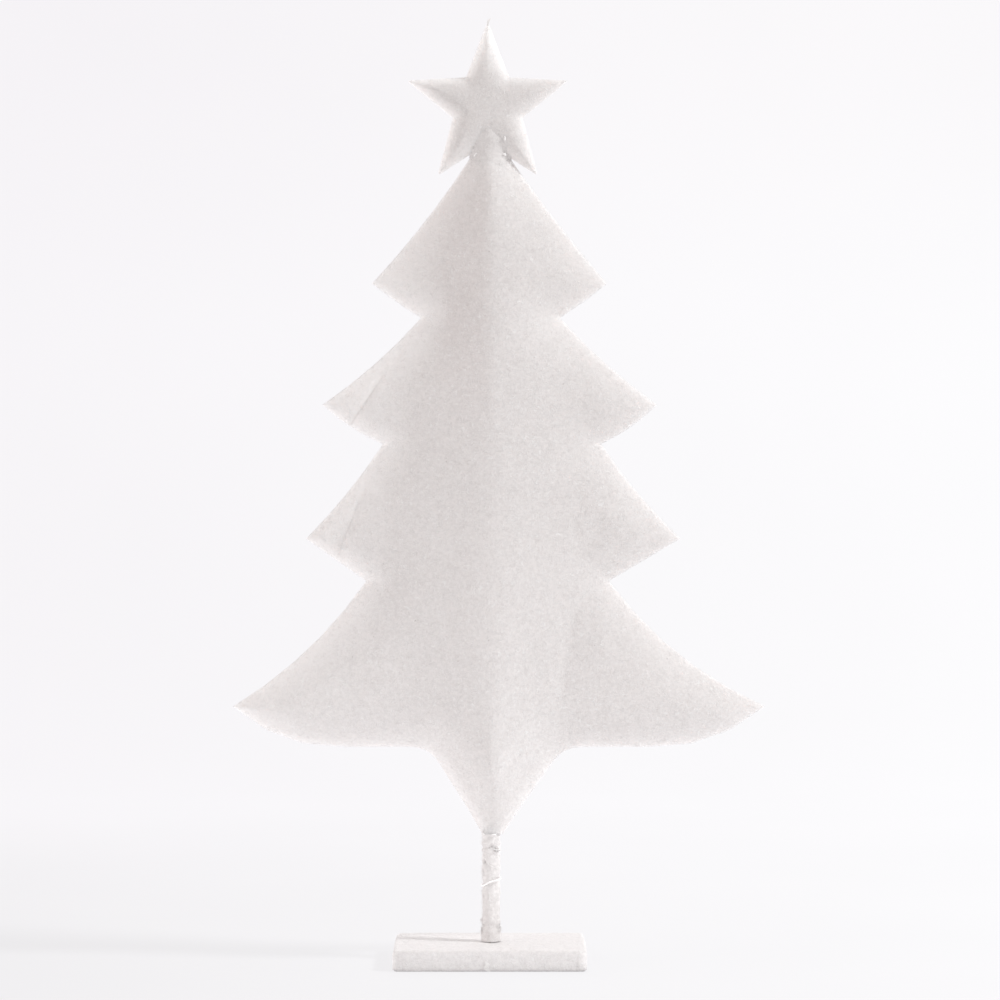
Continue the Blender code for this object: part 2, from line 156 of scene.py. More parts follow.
def distance(name, text, default, low, high):
    return FloatProperty(name=name, description=text, default=default, min=low, max=high,
                         subtype="DISTANCE", unit="LENGTH")


def factor(name, text, default, low=0, high=1):
    return FloatProperty(name=name, description=text, default=default, min=low, max=high, subtype="FACTOR")


def tint(name, text, default):
    return FloatVectorProperty(name=name, description=text, default=default, size=3, min=0, max=1, subtype="COLOR")


class FleeceSettings(PropertyGroup):
    """Colours and surface of the fleece."""

    colour: tint("Fleece colour", "Colour of the fleece", (0.800, 0.775, 0.768))
    thread_colour: tint("Curl colour", "Colour of the curled fibres on top", (0.900, 0.890, 0.885))
    # Painted shade: the dark colour of the nap's pits, of the gaps beside the curls and of the creases' lines
    pit_shade_colour: tint("Pit colour", "Colour of the pits between the fibres", (0.46, 0.42, 0.41))
    nap_depth: distance("Nap depth", "How deep the nap's relief is", 0.00035, 0, 0.002)
    sheen: factor("Sheen", "How much the fibre ends light up at the rim", 0.35)


class TreeSettings(PropertyGroup):
    """Sizes of the padded tree."""

    spacing: distance("Mesh spacing", "Distance between the panel's points", 0.0032, 0.002, 0.01)
    start_share: factor("Starting padding", "Share of the full padding that the cloth starts from", 0.97, 0.5)
    pressure: number("Pressure", "How hard the wadding presses the panels out", 4, 0, 20)
    most_move: distance("Most swelling", "The furthest that a point of the cloth may move", 0.0012, 0, 0.02)
    lump: distance("Lumps", "Height of the wadding's soft lumps", 0.0007, 0, 0.004)
    tip_flat: distance("Flat tip thickness", "Half thickness of the branch tips that hold no wadding",
                       0.0042, 0.0005, 0.006)


class StarSettings(PropertyGroup):
    """Sizes of the padded star."""

    spacing: distance("Mesh spacing", "Distance between the panel's points", 0.0020, 0.001, 0.01)
    pressure: number("Pressure", "How hard the wadding presses the panels out", 4, 0, 20)
    most_move: distance("Most swelling", "The furthest that a point of the cloth may move", 0.0015, 0, 0.02)


class StemSettings(PropertyGroup):
    """Sizes of the wrapped stem and its thread."""

    roughness: distance("Rough surface", "Height of the bumps on the wrapped fleece", 0.00021, 0, 0.001)
    thread_width: distance("Thread width", "Width of the thread that binds the stem", 0.0013, 0.0002, 0.002)
    thread_height: distance("Thread height", "Height of the binding thread above the floor", 0.0512, 0.02, 0.08)
    thread_tilt: distance("Thread tilt", "How much higher the thread is on the right than in the middle",
                          0.0022, -0.01, 0.01)


class BaseSettings(PropertyGroup):
    """Sizes of the fleece-covered base."""

    grain: distance("Mesh grain", "Size of the cover's mesh squares", 0.0011, 0.0006, 0.004)
    roughness: distance("Rough surface", "Height of the bumps on the cover", 0.00028, 0, 0.001)
    fold_width: distance("Fold width", "How far the cover is folded under the board", 0.012, 0.005, 0.03)


class FuzzSettings(PropertyGroup):
    """Loose fibres that stand off the fleece."""

    width: distance("Fibre width", "Thickness of a loose fibre", 0.00013, 0.00003, 0.0005)
    length: distance("Fibre length", "Length of a middling fibre", 0.0026, 0.0005, 0.01)
    tree_count: IntProperty(name="Fibres on the tree", description="Number of loose fibres on the tree",
                            default=6800, min=0, max=20000)


class StageSettings(PropertyGroup):
    """The floor, the lights and the camera."""

    floor_glow: number("Floor brightness", "Light that the floor and backdrop send out", 0.700, 0, 2)
    floor_light: number("Floor light", "Light that the floor and backdrop throw on the tree", 1.07, 0, 3)
    key_power: FloatProperty(name="Key light", description="Power of the soft light on the right", default=26.6,
                             min=0, max=500, subtype="POWER", unit="POWER")
    front_light: number("Front light", "Brightness of the room in front of the tree", 0.60, 0, 3)
    back_light: number("Back light", "Brightness of the room beside and behind the tree", 0.80, 0, 3)
    top_light: number("Top light", "How much brighter the room is overhead", -0.18, -1, 3)
    left_light: number("Left light", "How much brighter the room is on the left", 0.66, 0, 3)
    seen_room: number("Seen room", "Brightness of the room where the camera sees it", 0.93, 0, 3)


SETTINGS = {
    "tree_fleece": FleeceSettings,
    "tree_shape": TreeSettings,
    "tree_star": StarSettings,
    "tree_stem": StemSettings,
    "tree_base": BaseSettings,
    "tree_fuzz": FuzzSettings,
    "tree_stage": StageSettings,
}


# ---------------------------------------------------------------- modelling helpers


def deselect():
    if bpy.context.mode != "OBJECT":
        bpy.ops.object.mode_set(mode="OBJECT")
    bpy.ops.object.select_all(action="DESELECT")


def make_active(obj):
    deselect()
    obj.select_set(True)
    bpy.context.view_layer.objects.active = obj


def named(name, scale):
    """The object that an operator has just added, with its name, and its place and size in its mesh."""
    obj = bpy.context.object
    obj.name = name
    obj.scale = scale
    make_active(obj)
    bpy.ops.object.transform_apply(location=True, rotation=True, scale=True)
    return obj


def edit_picked(obj, kind, wanted):
    """Opens the object's mesh with only the wanted edges or faces picked."""
    make_active(obj)
    bpy.ops.object.mode_set(mode="EDIT")
    bpy.ops.mesh.select_mode(type=kind)
    bpy.ops.mesh.select_all(action="DESELECT")
    bm = bmesh.from_edit_mesh(obj.data)
    for part in bm.edges if kind == "EDGE" else bm.faces:
        part.select_set(wanted(part))
    bmesh.update_edit_mesh(obj.data)


def apply_modifiers(obj):
    make_active(obj)
    for modifier in list(obj.modifiers):
        bpy.ops.object.modifier_apply(modifier=modifier.name)


def thicken(obj, thickness, offset, group=""):
    """Gives a sheet its thickness and smooth faces."""
    wall = obj.modifiers.new("wall", "SOLIDIFY")
    wall.thickness, wall.offset, wall.vertex_group = thickness, offset, group
    apply_modifiers(obj)
    bpy.ops.object.shade_smooth()


def new_object(name, data):
    made = bpy.data.objects.new(name, data)
    bpy.context.scene.collection.objects.link(made)
    return made


def object_from(name, points, faces):
    mesh = bpy.data.meshes.new(name)
    mesh.from_pydata([tuple(p) for p in points], [], [tuple(f) for f in faces])
    mesh.validate()
    return new_object(name, mesh)


def points_of(mesh):
    points = np.empty(len(mesh.vertices) * 3)
    mesh.vertices.foreach_get("co", points)
    return points.reshape(-1, 3)


def set_points(mesh, points):
    mesh.vertices.foreach_set("co", np.asarray(points, float).ravel())
    mesh.update()


def normals_of(mesh):
    normals = np.empty(len(mesh.vertices) * 3, np.float32)
    mesh.vertex_normals.foreach_get("vector", normals)
    return normals.reshape(-1, 3).astype(float)


def unit(rows):
    """Each row scaled to length 1."""
    return rows / np.maximum(np.linalg.norm(rows, axis=1), 1e-12)[:, None]


def soft_noise(points, scale, seed):
    """Smooth noise from -1 to 1 at each point, with bumps about 1 / scale across."""
    shift = Vector((seed * 3.17, seed * 1.71, seed * 2.39))
    return np.array([noise.noise(Vector(p) * scale + shift) for p in points])


def smooth_step(low, high, value):
    share = np.clip((value - low) / (high - low), 0, 1)
    return share * share * (3 - 2 * share)


def hump(away, reach):
    """A bell curve that is 1 where away is 0."""
    return np.exp(-((away / reach) ** 2))


def mixed(pair, share):
    return pair[0] + (pair[1] - pair[0]) * np.clip(share, 0, 1)


def about_axis(radius, angle, height):
    """A point at that distance from the dowel's axis."""
    return (radius * math.cos(angle), radius * math.sin(angle), height)


def finish_piece(obj, surface, replaced=()):
    obj.data.materials.clear()
    obj.data.materials.append(surface)
    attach(obj, "root")
    if replaced:
        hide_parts(*replaced)


# ---------------------------------------------------------------- materials


class Nodes:
    """Adds and joins the nodes of one material or group."""

    def __init__(self, tree):
        self.tree = tree

    def feed(self, node, inputs):
        """Joins each of the node's named inputs to a socket, or sets its constant."""
        for name, value in inputs.items():
            if isinstance(value, bpy.types.NodeSocket):
                self.tree.links.new(value, node.inputs[name])
            else:
                node.inputs[name].default_value = value
        return node

    def add(self, kind, inputs=None, **options):
        node = self.tree.nodes.new("ShaderNode" + kind)
        for name, value in options.items():
            setattr(node, name, value)
        return self.feed(node, inputs or {})

    def math(self, operation, first, second=0.0):
        return self.add("Math", {0: first, 1: second}, operation=operation).outputs[0]

    def plus(self, first, second):
        return self.math("ADD", first, second)

    def minus(self, first, second):
        return self.math("SUBTRACT", first, second)

    def times(self, first, second):
        return self.math("MULTIPLY", first, second)

    def size(self, value):
        return self.math("ABSOLUTE", value)

    def remap(self, value, low, high, to_low=0.0, to_high=1.0, kind="LINEAR"):
        return self.add("MapRange", {
            "Value": value, "From Min": low, "From Max": high, "To Min": to_low, "To Max": to_high,
        }, interpolation_type=kind).outputs["Result"]

    def ease(self, value, low, high, to_low=0.0, to_high=1.0):
        return self.remap(value, low, high, to_low, to_high, "SMOOTHSTEP")

    def blend(self, share, first, second):
        first, second = ((*c, 1) if isinstance(c, (tuple, list)) else c for c in (first, second))
        return self.add("Mix", {0: share, 6: first, 7: second}, data_type="RGBA").outputs[2]

    def choose(self, share, first, second):
        return self.add("Mix", {0: share, 2: first, 3: second}, data_type="FLOAT").outputs[0]

    def noise(self, place, scale, detail, **more):
        return self.add("TexNoise", {"Vector": place, "Scale": scale, "Detail": detail, **more}).outputs["Fac"]

    def relief(self, height, distance, strength):
        return self.add("Bump", {"Height": height, "Distance": distance, "Strength": strength}).outputs["Normal"]


def new_group(name, inputs, outputs):
    """A node group with its named inputs (each with its kind and value) and its outputs, which are numbers."""
    group = bpy.data.node_groups.new(name, "ShaderNodeTree")
    for label, kind, value in inputs:
        socket = group.interface.new_socket(label, in_out="INPUT", socket_type="NodeSocket" + kind)
        if value is not None:
            socket.default_value = value
    for label in outputs:
        group.interface.new_socket(label, in_out="OUTPUT", socket_type="NodeSocketFloat")
    given, out = (group.nodes.new(kind) for kind in ("NodeGroupInput", "NodeGroupOutput"))
    return group, Nodes(group), given.outputs, out


def fleece_nap_group():
    """Curled fibres, pits between them, soft mottling and the relief of all three. Pits holds the mask of painted
    shade: the pits and the dark gaps beside the curls.
    """
    made = bpy.data.node_groups.get("fleece_nap")
    if made:
        return made
    group, nodes, given, out = new_group(
        "fleece_nap", [("Vector", "Vector", None), ("Curl Scale", "Float", 210.0), ("Pit Scale", "Float", 150.0)],
        ["Curls", "Pits", "Mottle", "Height"],
    )
    place = given["Vector"]

    def lines(scale_share, shift, width):
        moved = nodes.add("VectorMath", {0: place, 1: shift}, operation="ADD").outputs[0]
        scale = nodes.times(given["Curl Scale"], scale_share)
        wave = nodes.noise(moved, scale, 1.0, Roughness=0.5, Distortion=1.2)
        return nodes.ease(nodes.size(nodes.minus(wave, 0.5)), 0.0, width, 1.0, 0.0)

    shown = nodes.ease(nodes.noise(place, 170.0, 1.0), 0.46, 0.60)
    first = nodes.times(lines(1.0, (0, 0, 0), 0.035), shown)
    hidden = nodes.minus(1.0, shown)
    second = nodes.times(lines(1.7, (3.1, 1.7, 0.4), 0.05), nodes.times(hidden, 0.7))
    curls = nodes.math("MAXIMUM", first, second)

    # Painted shadow of the curls: dark lines beside them, in patches
    patch = nodes.ease(nodes.noise(place, 210.0, 1.0), 0.48, 0.58)
    painted_curl_shadow = nodes.times(lines(1.35, (5.3, 0.9, 2.2), 0.045), patch)
    # Painted shade in the pits between the fibres
    cells = nodes.add("TexVoronoi", {"Vector": place, "Scale": given["Pit Scale"]}).outputs
    dot = nodes.ease(cells["Distance"], 0.03, 0.09, 1.0, 0.0)
    picked = nodes.add("SeparateColor", {"Color": cells["Color"]})
    some = nodes.remap(picked.outputs["Red"], 0.72, 0.86)
    pits = nodes.math("MAXIMUM", nodes.times(dot, some), nodes.times(painted_curl_shadow, 0.30))

    wide = nodes.noise(place, 22.0, 3.0, Roughness=0.55)
    near = nodes.noise(place, 130.0, 2.0)
    fine = nodes.noise(place, 480.0, 2.0, Roughness=0.6)
    mottle = nodes.plus(nodes.times(wide, 0.16), nodes.times(near, 0.10))
    mottle = nodes.plus(mottle, nodes.times(fine, 0.74))

    grain = nodes.noise(place, 900.0, 3.0)
    height = nodes.plus(nodes.times(curls, 0.85), nodes.times(grain, 0.35))
    height = nodes.plus(height, nodes.times(near, 0.25))
    height = nodes.minus(height, nodes.times(pits, 0.6))
    nodes.feed(out, {"Curls": curls, "Pits": pits, "Mottle": mottle, "Height": height})
    return group


def principled(name):
    made = bpy.data.materials.new(name)
    made.use_nodes = True
    nodes = Nodes(made.node_tree)
    return made, nodes, made.node_tree.nodes["Principled BSDF"], nodes.add("TexCoord").outputs["Object"]


def crease_line(nodes, parts, crease):
    """A mask that is 1 on the line of a pressed crease in the front panel, where painted shade darkens the colour."""
    upper, lower, _, strength = crease
    long = math.hypot(lower[0] - upper[0], lower[1] - upper[1])
    run = ((lower[0] - upper[0]) / long, (lower[1] - upper[1]) / long)
    right = nodes.minus(parts["X"], upper[0])
    up = nodes.minus(parts["Z"], upper[1])
    along = nodes.plus(nodes.times(right, run[0]), nodes.times(up, run[1]))
    away = nodes.minus(nodes.times(right, run[1]), nodes.times(up, run[0]))
    line = nodes.ease(nodes.size(away), 0.0001, 0.0010, 1.0, 0.0)
    line = nodes.times(line, nodes.remap(along, 0.0, long * 0.6))
    line = nodes.times(line, nodes.remap(along, long * 1.1, long * 1.3, 1.0, 0.0))
    return nodes.times(line, nodes.remap(parts["Y"], -0.0008, 0.0, strength, 0.0))


def painted_shade_flank(nodes, parts):
    """A mask of the tree's flank left of the ridge, where painted shade makes the cloth a little darker and warmer."""
    mask = nodes.ease(parts["X"], -0.065, -0.015)
    for label, low, high in (("X", -0.006, 0.003), ("Z", 0.485, 0.515), ("Y", -0.0008, 0.0)):
        mask = nodes.times(mask, nodes.remap(parts[label], low, high, 1.0, 0.0))
    return nodes.times(mask, nodes.ease(parts["Z"], 0.30, 0.43, 0.0, 0.14))


def painted_light_and_shade(nodes, parts, colour, thin, wadding, top, creases, pit_shade):
    """The colour, made lighter where there is hardly any wadding, which is painted light for light that shines through
    the thin cloth, and with the creases' dark lines, which are painted shade.
    """
    # Painted light where there is hardly any wadding, standing in for light that shines through the thin cloth, less of
    # it on the right and at the hem
    little = nodes.ease(nodes.size(parts["Y"]), *wadding, thin, 0.0)
    aside = nodes.plus(nodes.remap(parts["X"], -0.01, 0.03, 1.0, 0.15), nodes.remap(parts["Z"], 0.28, 0.36, 0.0, 0.22))
    little = nodes.times(little, aside)
    little = nodes.times(little, nodes.remap(parts["Z"], 0.145, 0.195, 0.2, 1.0))
    # The tree, the only piece with creases, also gets painted shade on its flank and painted light on its low left
    # wings, and less painted light near its top
    if creases:
        little = nodes.times(little, nodes.remap(parts["Z"], 0.42, 0.505, 1.0, 0.25))
        # Painted shade, darker and warmer, on the flank left of the ridge
        colour = nodes.blend(painted_shade_flank(nodes, parts), colour, (0.60, 0.50, 0.48))
        # Painted light on the lowest wings on the left
        painted_light_low_left = nodes.times(nodes.remap(parts["X"], -0.04, -0.12, 0.0, 0.16),
                               nodes.remap(parts["Z"], 0.170, 0.215, 1.0, 0.0))
        little = nodes.plus(little, painted_light_low_left)
    if top:
        # Painted light higher up, between the two heights of top
        little = nodes.plus(little, nodes.ease(parts["Z"], top[0], top[1], 0.0, top[2]))
    # All the painted light above lightens the colour towards this
    colour = nodes.blend(little, colour, (0.995, 0.98, 0.975))
    # Painted shade along each crease's line
    for crease in creases:
        colour = nodes.blend(crease_line(nodes, parts, crease), colour, pit_shade)
    return colour


def fleece_material(name, shade=1.0, thin=0.0, wadding=(0.003, 0.010), top=None, spread=0.5, pits=0.55, creases=()):
    """White fleece. shade scales its colour: on the felt that is its own tone, on the fleece pieces painted shade below
    1 and painted light above 1. thin is how much painted light it gets where there is hardly any wadding behind it,
    standing in for light shining through the thin cloth, and wadding says how far from the middle that ends.
    Between the two heights of top it gets painted light by its share. creases adds the painted shade of their lines
    and turns on the tree's painted flank shade and low left light. spread is the share of the light that spreads
    in it, and pits how dark the painted shade in its pits is."""
    look = bpy.context.scene.tree_fleece
    pit_shade = tuple(look.pit_shade_colour)
    made, nodes, shader, place = principled(name)
    nap = nodes.add("Group", {}, node_tree=fleece_nap_group())
    nodes.feed(nap, {"Vector": place})
    nap = nap.outputs
    base = [c * shade for c in look.colour]
    dark = [c * 0.955 for c in base]
    light = [min(c * 1.035, 1) for c in base]
    colour = nodes.blend(nodes.remap(nap["Mottle"], 0.40, 0.60), dark, light)
    if thin:
        parts = nodes.add("SeparateXYZ", {0: place}).outputs
        colour = painted_light_and_shade(nodes, parts, colour, thin, wadding, top, creases, pit_shade)
    fibres = [min(c * shade, 1) for c in look.thread_colour]
    colour = nodes.blend(nodes.times(nap["Curls"], 0.75), colour, fibres)
    # Painted shade in the pits and in the dark gaps beside the curls
    colour = nodes.blend(nodes.times(nap["Pits"], pits), colour, pit_shade)
    nodes.feed(shader, {
        "Base Color": colour,
        "Normal": nodes.relief(nap["Height"], look.nap_depth, 0.6),
        "Roughness": nodes.remap(nap["Mottle"], 0.3, 0.7, 0.9, 1.0),
        "Sheen Weight": look.sheen,
        "Sheen Roughness": 0.45,
        "Specular IOR Level": 0.15,
        "Subsurface Weight": spread,
        "Subsurface Scale": 0.004,
        "Subsurface Radius": SPREAD_RADIUS,
    })
    return made


# ---------------------------------------------------------------- pillows


def outline_of(node):
    """The rim of a front cover's outside, in order, as points of the row frame."""
    bm = bmesh.new()
    bm.from_mesh(NODES[node].data)
    bmesh.ops.remove_doubles(bm, verts=bm.verts, dist=2e-6)
    bm.normal_update()
    bmesh.ops.delete(bm, geom=[f for f in bm.faces if f.normal.y > -0.01], context="FACES")
    beside = {}
    for edge in bm.edges:
        if len(edge.link_faces) == 1:
            for vert in edge.verts:
                beside.setdefault(vert, []).append(edge.other_vert(vert))
    start = next(iter(beside))
    loop, before, here = [], None, start
    while here is not start or not loop:
        loop.append(here.co.copy())
        first, second = beside[here]
        before, here = here, first if first is not before else second
    bm.free()
    return loop


def apart(first, second):
    """The distance of two points in the plane."""
    return math.hypot(second[0] - first[0], second[1] - first[1])


def between(first, second, share):
    return [a + (b - a) * share for a, b in zip(first, second)]


def walk_along(loop, start, step, reach):
    """The last point number passed on the way from start, and the place at that reach along the outline."""
    count, number, gone = len(loop), start, 0.0
    while gone < reach:
        here, after = loop[number % count], loop[(number + step) % count]
        run = apart(here, after)
        if gone + run > reach:
            return number, between(here, after, (reach - gone) / run)
        gone += run
        number += step
    return number - step, loop[number % count]


def curve_corners(loop, near, reach):
    """The outline with a curve of that reach in place of its points close to each place in near."""
    for place in near:
        count = len(loop)
        start = min(range(count), key=lambda n: apart(place, loop[n]))
        before, first = walk_along(loop, start, -1, reach)
        after, last = walk_along(loop, start, 1, reach)
        curve = []
        for t in (step / CURVE_STEPS for step in range(CURVE_STEPS + 1)):
            weights = ((1 - t) ** 2, 2 * t * (1 - t), t**2)
            curve.append(tuple(sum(w * p[i] for w, p in zip(weights, (first, loop[start], last))) for i in range(3)))
        loop = [loop[(after + 1 + n) % count] for n in range(count - (after - before) - 1)] + curve
    return loop


def split_loop(loop, spacing):
    """The loop with points no further apart than spacing. Each point is (x, z, opening)."""
    points = []
    for here, after in zip(loop, loop[1:] + loop[:1]):
        steps = max(1, math.ceil(apart(here, after) / spacing))
        points += [[h + (a - h) * step / steps for h, a in zip(here, after)] for step in range(steps)]
    return points


def sides_of(loop):
    ends = np.array(loop)[:, :2]
    return zip(ends, np.roll(ends, -1, axis=0))


def depth_inside(points, loop):
    """The distance of each point of the plane from the outline."""
    nearest = np.full(len(points), np.inf)
    for start, end in sides_of(loop):
        run = end - start
        share = np.clip((points - start) @ run / (run @ run), 0, 1)
        nearest = np.minimum(nearest, np.linalg.norm(points - start - share[:, None] * run, axis=1))
    return nearest


def inside(points, loop):
    """Which points of the plane lie within the outline."""
    found = np.zeros(len(points), bool)
    for (x0, z0), (x1, z1) in sides_of(loop):
        if z0 != z1:
            crosses = (points[:, 1] < z0) != (points[:, 1] < z1)
            found ^= crosses & (points[:, 0] < x0 + (points[:, 1] - z0) * (x1 - x0) / (z1 - z0))
    return found


def flat_panel(loop, spacing, ridge, seed):
    """An even net of triangles inside the outline. Returns its points, faces, and which are on the outline or ridge."""
    rim = split_loop(loop, spacing)
    ends = np.array(rim)[:, :2]
    low, high = ends.min(0), ends.max(0)
    row_gap = spacing * math.sqrt(3) / 2
    draw = np.random.default_rng(seed)
    lattice = []
    for row in range(int((high[1] - low[1]) / row_gap) + 1):
        across = np.arange(low[0] + (row % 2) * spacing / 2, high[0], spacing)
        lattice.append(np.column_stack([across, np.full(len(across), low[1] + row * row_gap)]))
    lattice = np.concatenate(lattice)
    lattice += draw.uniform(-0.18, 0.18, lattice.shape) * spacing
    keep = inside(lattice, rim) & (depth_inside(lattice, rim) > spacing * 0.55)
    line = np.zeros((0, 2))
    if ridge:
        (middle, bottom), (_, top) = ridge
        keep &= np.abs(lattice[:, 0] - middle) > spacing * 0.5
        steps = int((top - bottom) / spacing)
        line = np.array([[middle, bottom + (top - bottom) * n / steps] for n in range(steps + 1)])
    points = np.concatenate([ends, line, lattice[keep]])
    count = len(ends)
    edges = [(n, (n + 1) % count) for n in range(count)]
    edges += [(count + n, count + n + 1) for n in range(len(line) - 1)]
    made = geometry.delaunay_2d_cdt([Vector(p) for p in points], edges, [list(range(count))], 1, 1e-7)
    place = [min(origin) if origin else len(points) for origin in made[3]]
    kind = ["rim" if first < count else "ridge" if first < count + len(line) else "inner" for first in place]
    opening = [rim[first][2] if first < count else 0.0 for first in place]
    return split_chords([tuple(p) for p in made[0]], [tuple(f) for f in made[2]], kind, opening, place, count)


def split_chords(flat, faces, kind, opening, place, count):
    """Gives each edge that runs straight from rim to rim a middle point, so that the two panels part there."""
    halves = {}
    for a, b, c in faces:
        for first, second in ((a, b), (b, c), (c, a)):
            gap = abs(place[first] - place[second]) % count
            key = tuple(sorted((first, second)))
            if kind[first] == kind[second] == "rim" and gap not in (1, count - 1) and key not in halves:
                halves[key] = len(flat)
                flat.append(tuple((f + s) / 2 for f, s in zip(flat[first], flat[second])))
                kind.append("inner")
                opening.append(0.0)
    made = []
    waiting = list(faces)
    while waiting:
        face = waiting.pop()
        for turn in range(3):
            a, b, c = face[turn:] + face[:turn]
            middle = halves.get(tuple(sorted((a, b))))
            if middle is not None:
                waiting += [(a, middle, c), (middle, b, c)]
                break
        else:
            made.append(face)
    return np.array(flat), made, kind, np.array(opening)


def closed_pillow(name, flat, faces, kind, opening, padding, behind):
    """Front and back panels on one seam, left open where the seam opens round the dowel; line_bore makes the wall
    there.
    """
    count = len(flat)
    on_rim = np.array([k == "rim" for k in kind])
    seam = on_rim & (opening < CLEARANCE)
    half, back_half = (np.where(on_rim, opening, np.maximum(side, 0.0002)) for side in (padding, behind))
    half[seam] = 0
    points = [(x, -h, z) for (x, z), h in zip(flat, half)]
    twin = {}
    for number in range(count):
        twin[number] = number if seam[number] else len(points)
        if not seam[number]:
            points.append((flat[number][0], back_half[number], flat[number][1]))
    area = sum(
        (flat[b][0] - flat[a][0]) * (flat[c][1] - flat[a][1]) - (flat[c][0] - flat[a][0]) * (flat[b][1] - flat[a][1])
        for a, b, c in faces[:20]
    )
    # Seen from the front, x runs to the right and z up, so an anticlockwise face already points forward
    front = faces if area > 0 else [f[::-1] for f in faces]
    back = [[twin[v] for v in f[::-1]] for f in front]
    made = object_from(name, points, front + back)
    groups = {"seam": [n for n in range(count) if on_rim[n]], "ridge": [n for n in range(count) if kind[n] == "ridge"]}
    groups["held"] = groups["seam"] + groups["ridge"]
    for label, members in groups.items():
        made.vertex_groups.new(name=label).add(sorted({*members, *(twin[n] for n in members)}), 1.0, "REPLACE")
    return made


def line_bore(obj, top=None):
    """Turns the open seams in round the dowel and joins them by a wall, or closes the only one at top."""
    radius = DOWEL_RADIUS + CLEARANCE * 1.5
    bm = bmesh.new()
    bm.from_mesh(obj.data)
    given_edges, given_faces = len(bm.edges), len(bm.faces)

    def pull_out(edges):
        made = bmesh.ops.extrude_edge_only(bm, edges=edges)["geom"]
        return {v for v in made if isinstance(v, bmesh.types.BMVert)}

    open_edges = [e for e in bm.edges if e.is_boundary]
    middle = sum(e.verts[0].co.z for e in open_edges) / len(open_edges)
    for vert in pull_out(open_edges):
        angle = math.atan2(vert.co.y, vert.co.x)
        upper = top is None and vert.co.z > middle
        level = TREE_HIGH.z - 0.006 if upper else vert.co.z + 0.0035
        vert.co = (radius * math.cos(angle), radius * math.sin(angle), level)
    loops = [e for e in bm.edges if e.is_boundary]
    if top is None:
        bmesh.ops.bridge_loops(bm, edges=loops)
    else:
        for vert in pull_out(loops):
            vert.co.z = top
        bmesh.ops.holes_fill(bm, edges=[e for e in bm.edges if e.is_boundary])
    bmesh.ops.recalc_face_normals(bm, faces=bm.faces)
    # The operators add edges and faces in no fixed order, so the new ones are put in the order of their points
    count = len(bm.verts)
    for parts in (bm.verts, bm.edges, bm.faces):
        parts.index_update()

    def rank(part, given):
        corners = sorted(v.index for v in part.verts)[:3]
        return part.index if part.index < given else given + sum(v * count**n for n, v in enumerate(corners))

    bm.edges.sort(key=lambda edge: rank(edge, given_edges))
    bm.faces.sort(key=lambda face: rank(face, given_faces))
    bm.to_mesh(obj.data)
    bm.free()


def blow_up(obj, shape, pinned):
    """Cloth with pressure and no gravity, pinned by a group. No point moves further than shape.most_move."""
    if not shape.pressure:
        return
    start = points_of(obj.data)
    make_active(obj)
    bpy.ops.object.modifier_add(type="CLOTH")
    cloth = obj.modifiers[-1]
    for name, value in CLOTH.items():
        setattr(cloth.settings, name, value)
    cloth.settings.vertex_group_mass = pinned
    cloth.settings.uniform_pressure_force = shape.pressure
    cloth.settings.effector_weights.gravity = 0
    cloth.collision_settings.use_collision = False
    cloth.point_cache.frame_end = CLOTH_FRAMES
    for number in range(1, CLOTH_FRAMES + 1):
        bpy.context.scene.frame_set(number)
    bpy.ops.object.modifier_apply(modifier=cloth.name)
    bpy.context.scene.frame_set(1)
    moved = points_of(obj.data) - start
    far = np.maximum(np.linalg.norm(moved, axis=1), 1e-9)
    # A soft limit, so that the cloth has no edge where the limit begins
    most = shape.most_move
    set_points(obj.data, start + moved * (most * np.tanh(far / most) / far)[:, None])


def neck_rim(loop):
    """The outline with close points along the tree's top edge, which is drawn up in front of the star's notch."""
    on_top = [abs(z - NOTCH_HEIGHT + NOTCH_SLOPE * abs(x - STAR_SHIFT)) < 0.0006 for x, z, _ in loop]
    start = next(n for n in range(len(loop)) if on_top[n] and not on_top[n - 1])
    turned = loop[start:] + loop[:start]
    count = sum(on_top)
    first, last = turned[0], turned[count - 1]
    dense_rim = []
    for step in range(NECK_POINTS + 1):
        x = first[0] + (last[0] - first[0]) * step / NECK_POINTS
        gap = math.sqrt(max(LIP_RADIUS**2 - x**2, 0))
        edge = NOTCH_HEIGHT - NOTCH_SLOPE * (math.hypot(x - STAR_SHIFT, 0.002) - 0.0006)
        dense_rim.append((x, edge - 0.0003 + LIP_RISE * hump(x, LIP_REACH), gap))
    return dense_rim + turned[count:]


def over_dowel(x, radius):
    """The arch that the cloth makes over the dowel."""
    return np.sqrt(np.maximum(radius**2 - x**2, 0))


def rounded(share, straight):
    """A padded edge's rise from 0 to 1: part of it a parabola, and the rest a quarter circle."""
    left = (1 - share) ** 2
    return straight * (1 - left) + (1 - straight) * np.sqrt(1 - left)


def panel_noise(flat, side, scale, seed):
    """Noise on one panel: its points in the plane, with the side's own shift behind them."""
    return soft_noise(np.column_stack([flat[:, 0], np.full(len(flat), side), flat[:, 1]]), scale, seed)


def lumps(flat, lump, seed):
    """Soft unevenness of the wadding."""
    return lump * (panel_noise(flat, seed * 0.31, 26, 8) + 0.35 * panel_noise(flat, seed * 0.31, 75, 9))


def pucker(flat, seed):
    """How far the cloth draws in between the stitches of a seam."""
    return 0.0006 * np.abs(panel_noise(flat, seed * 0.17, 130, 10))


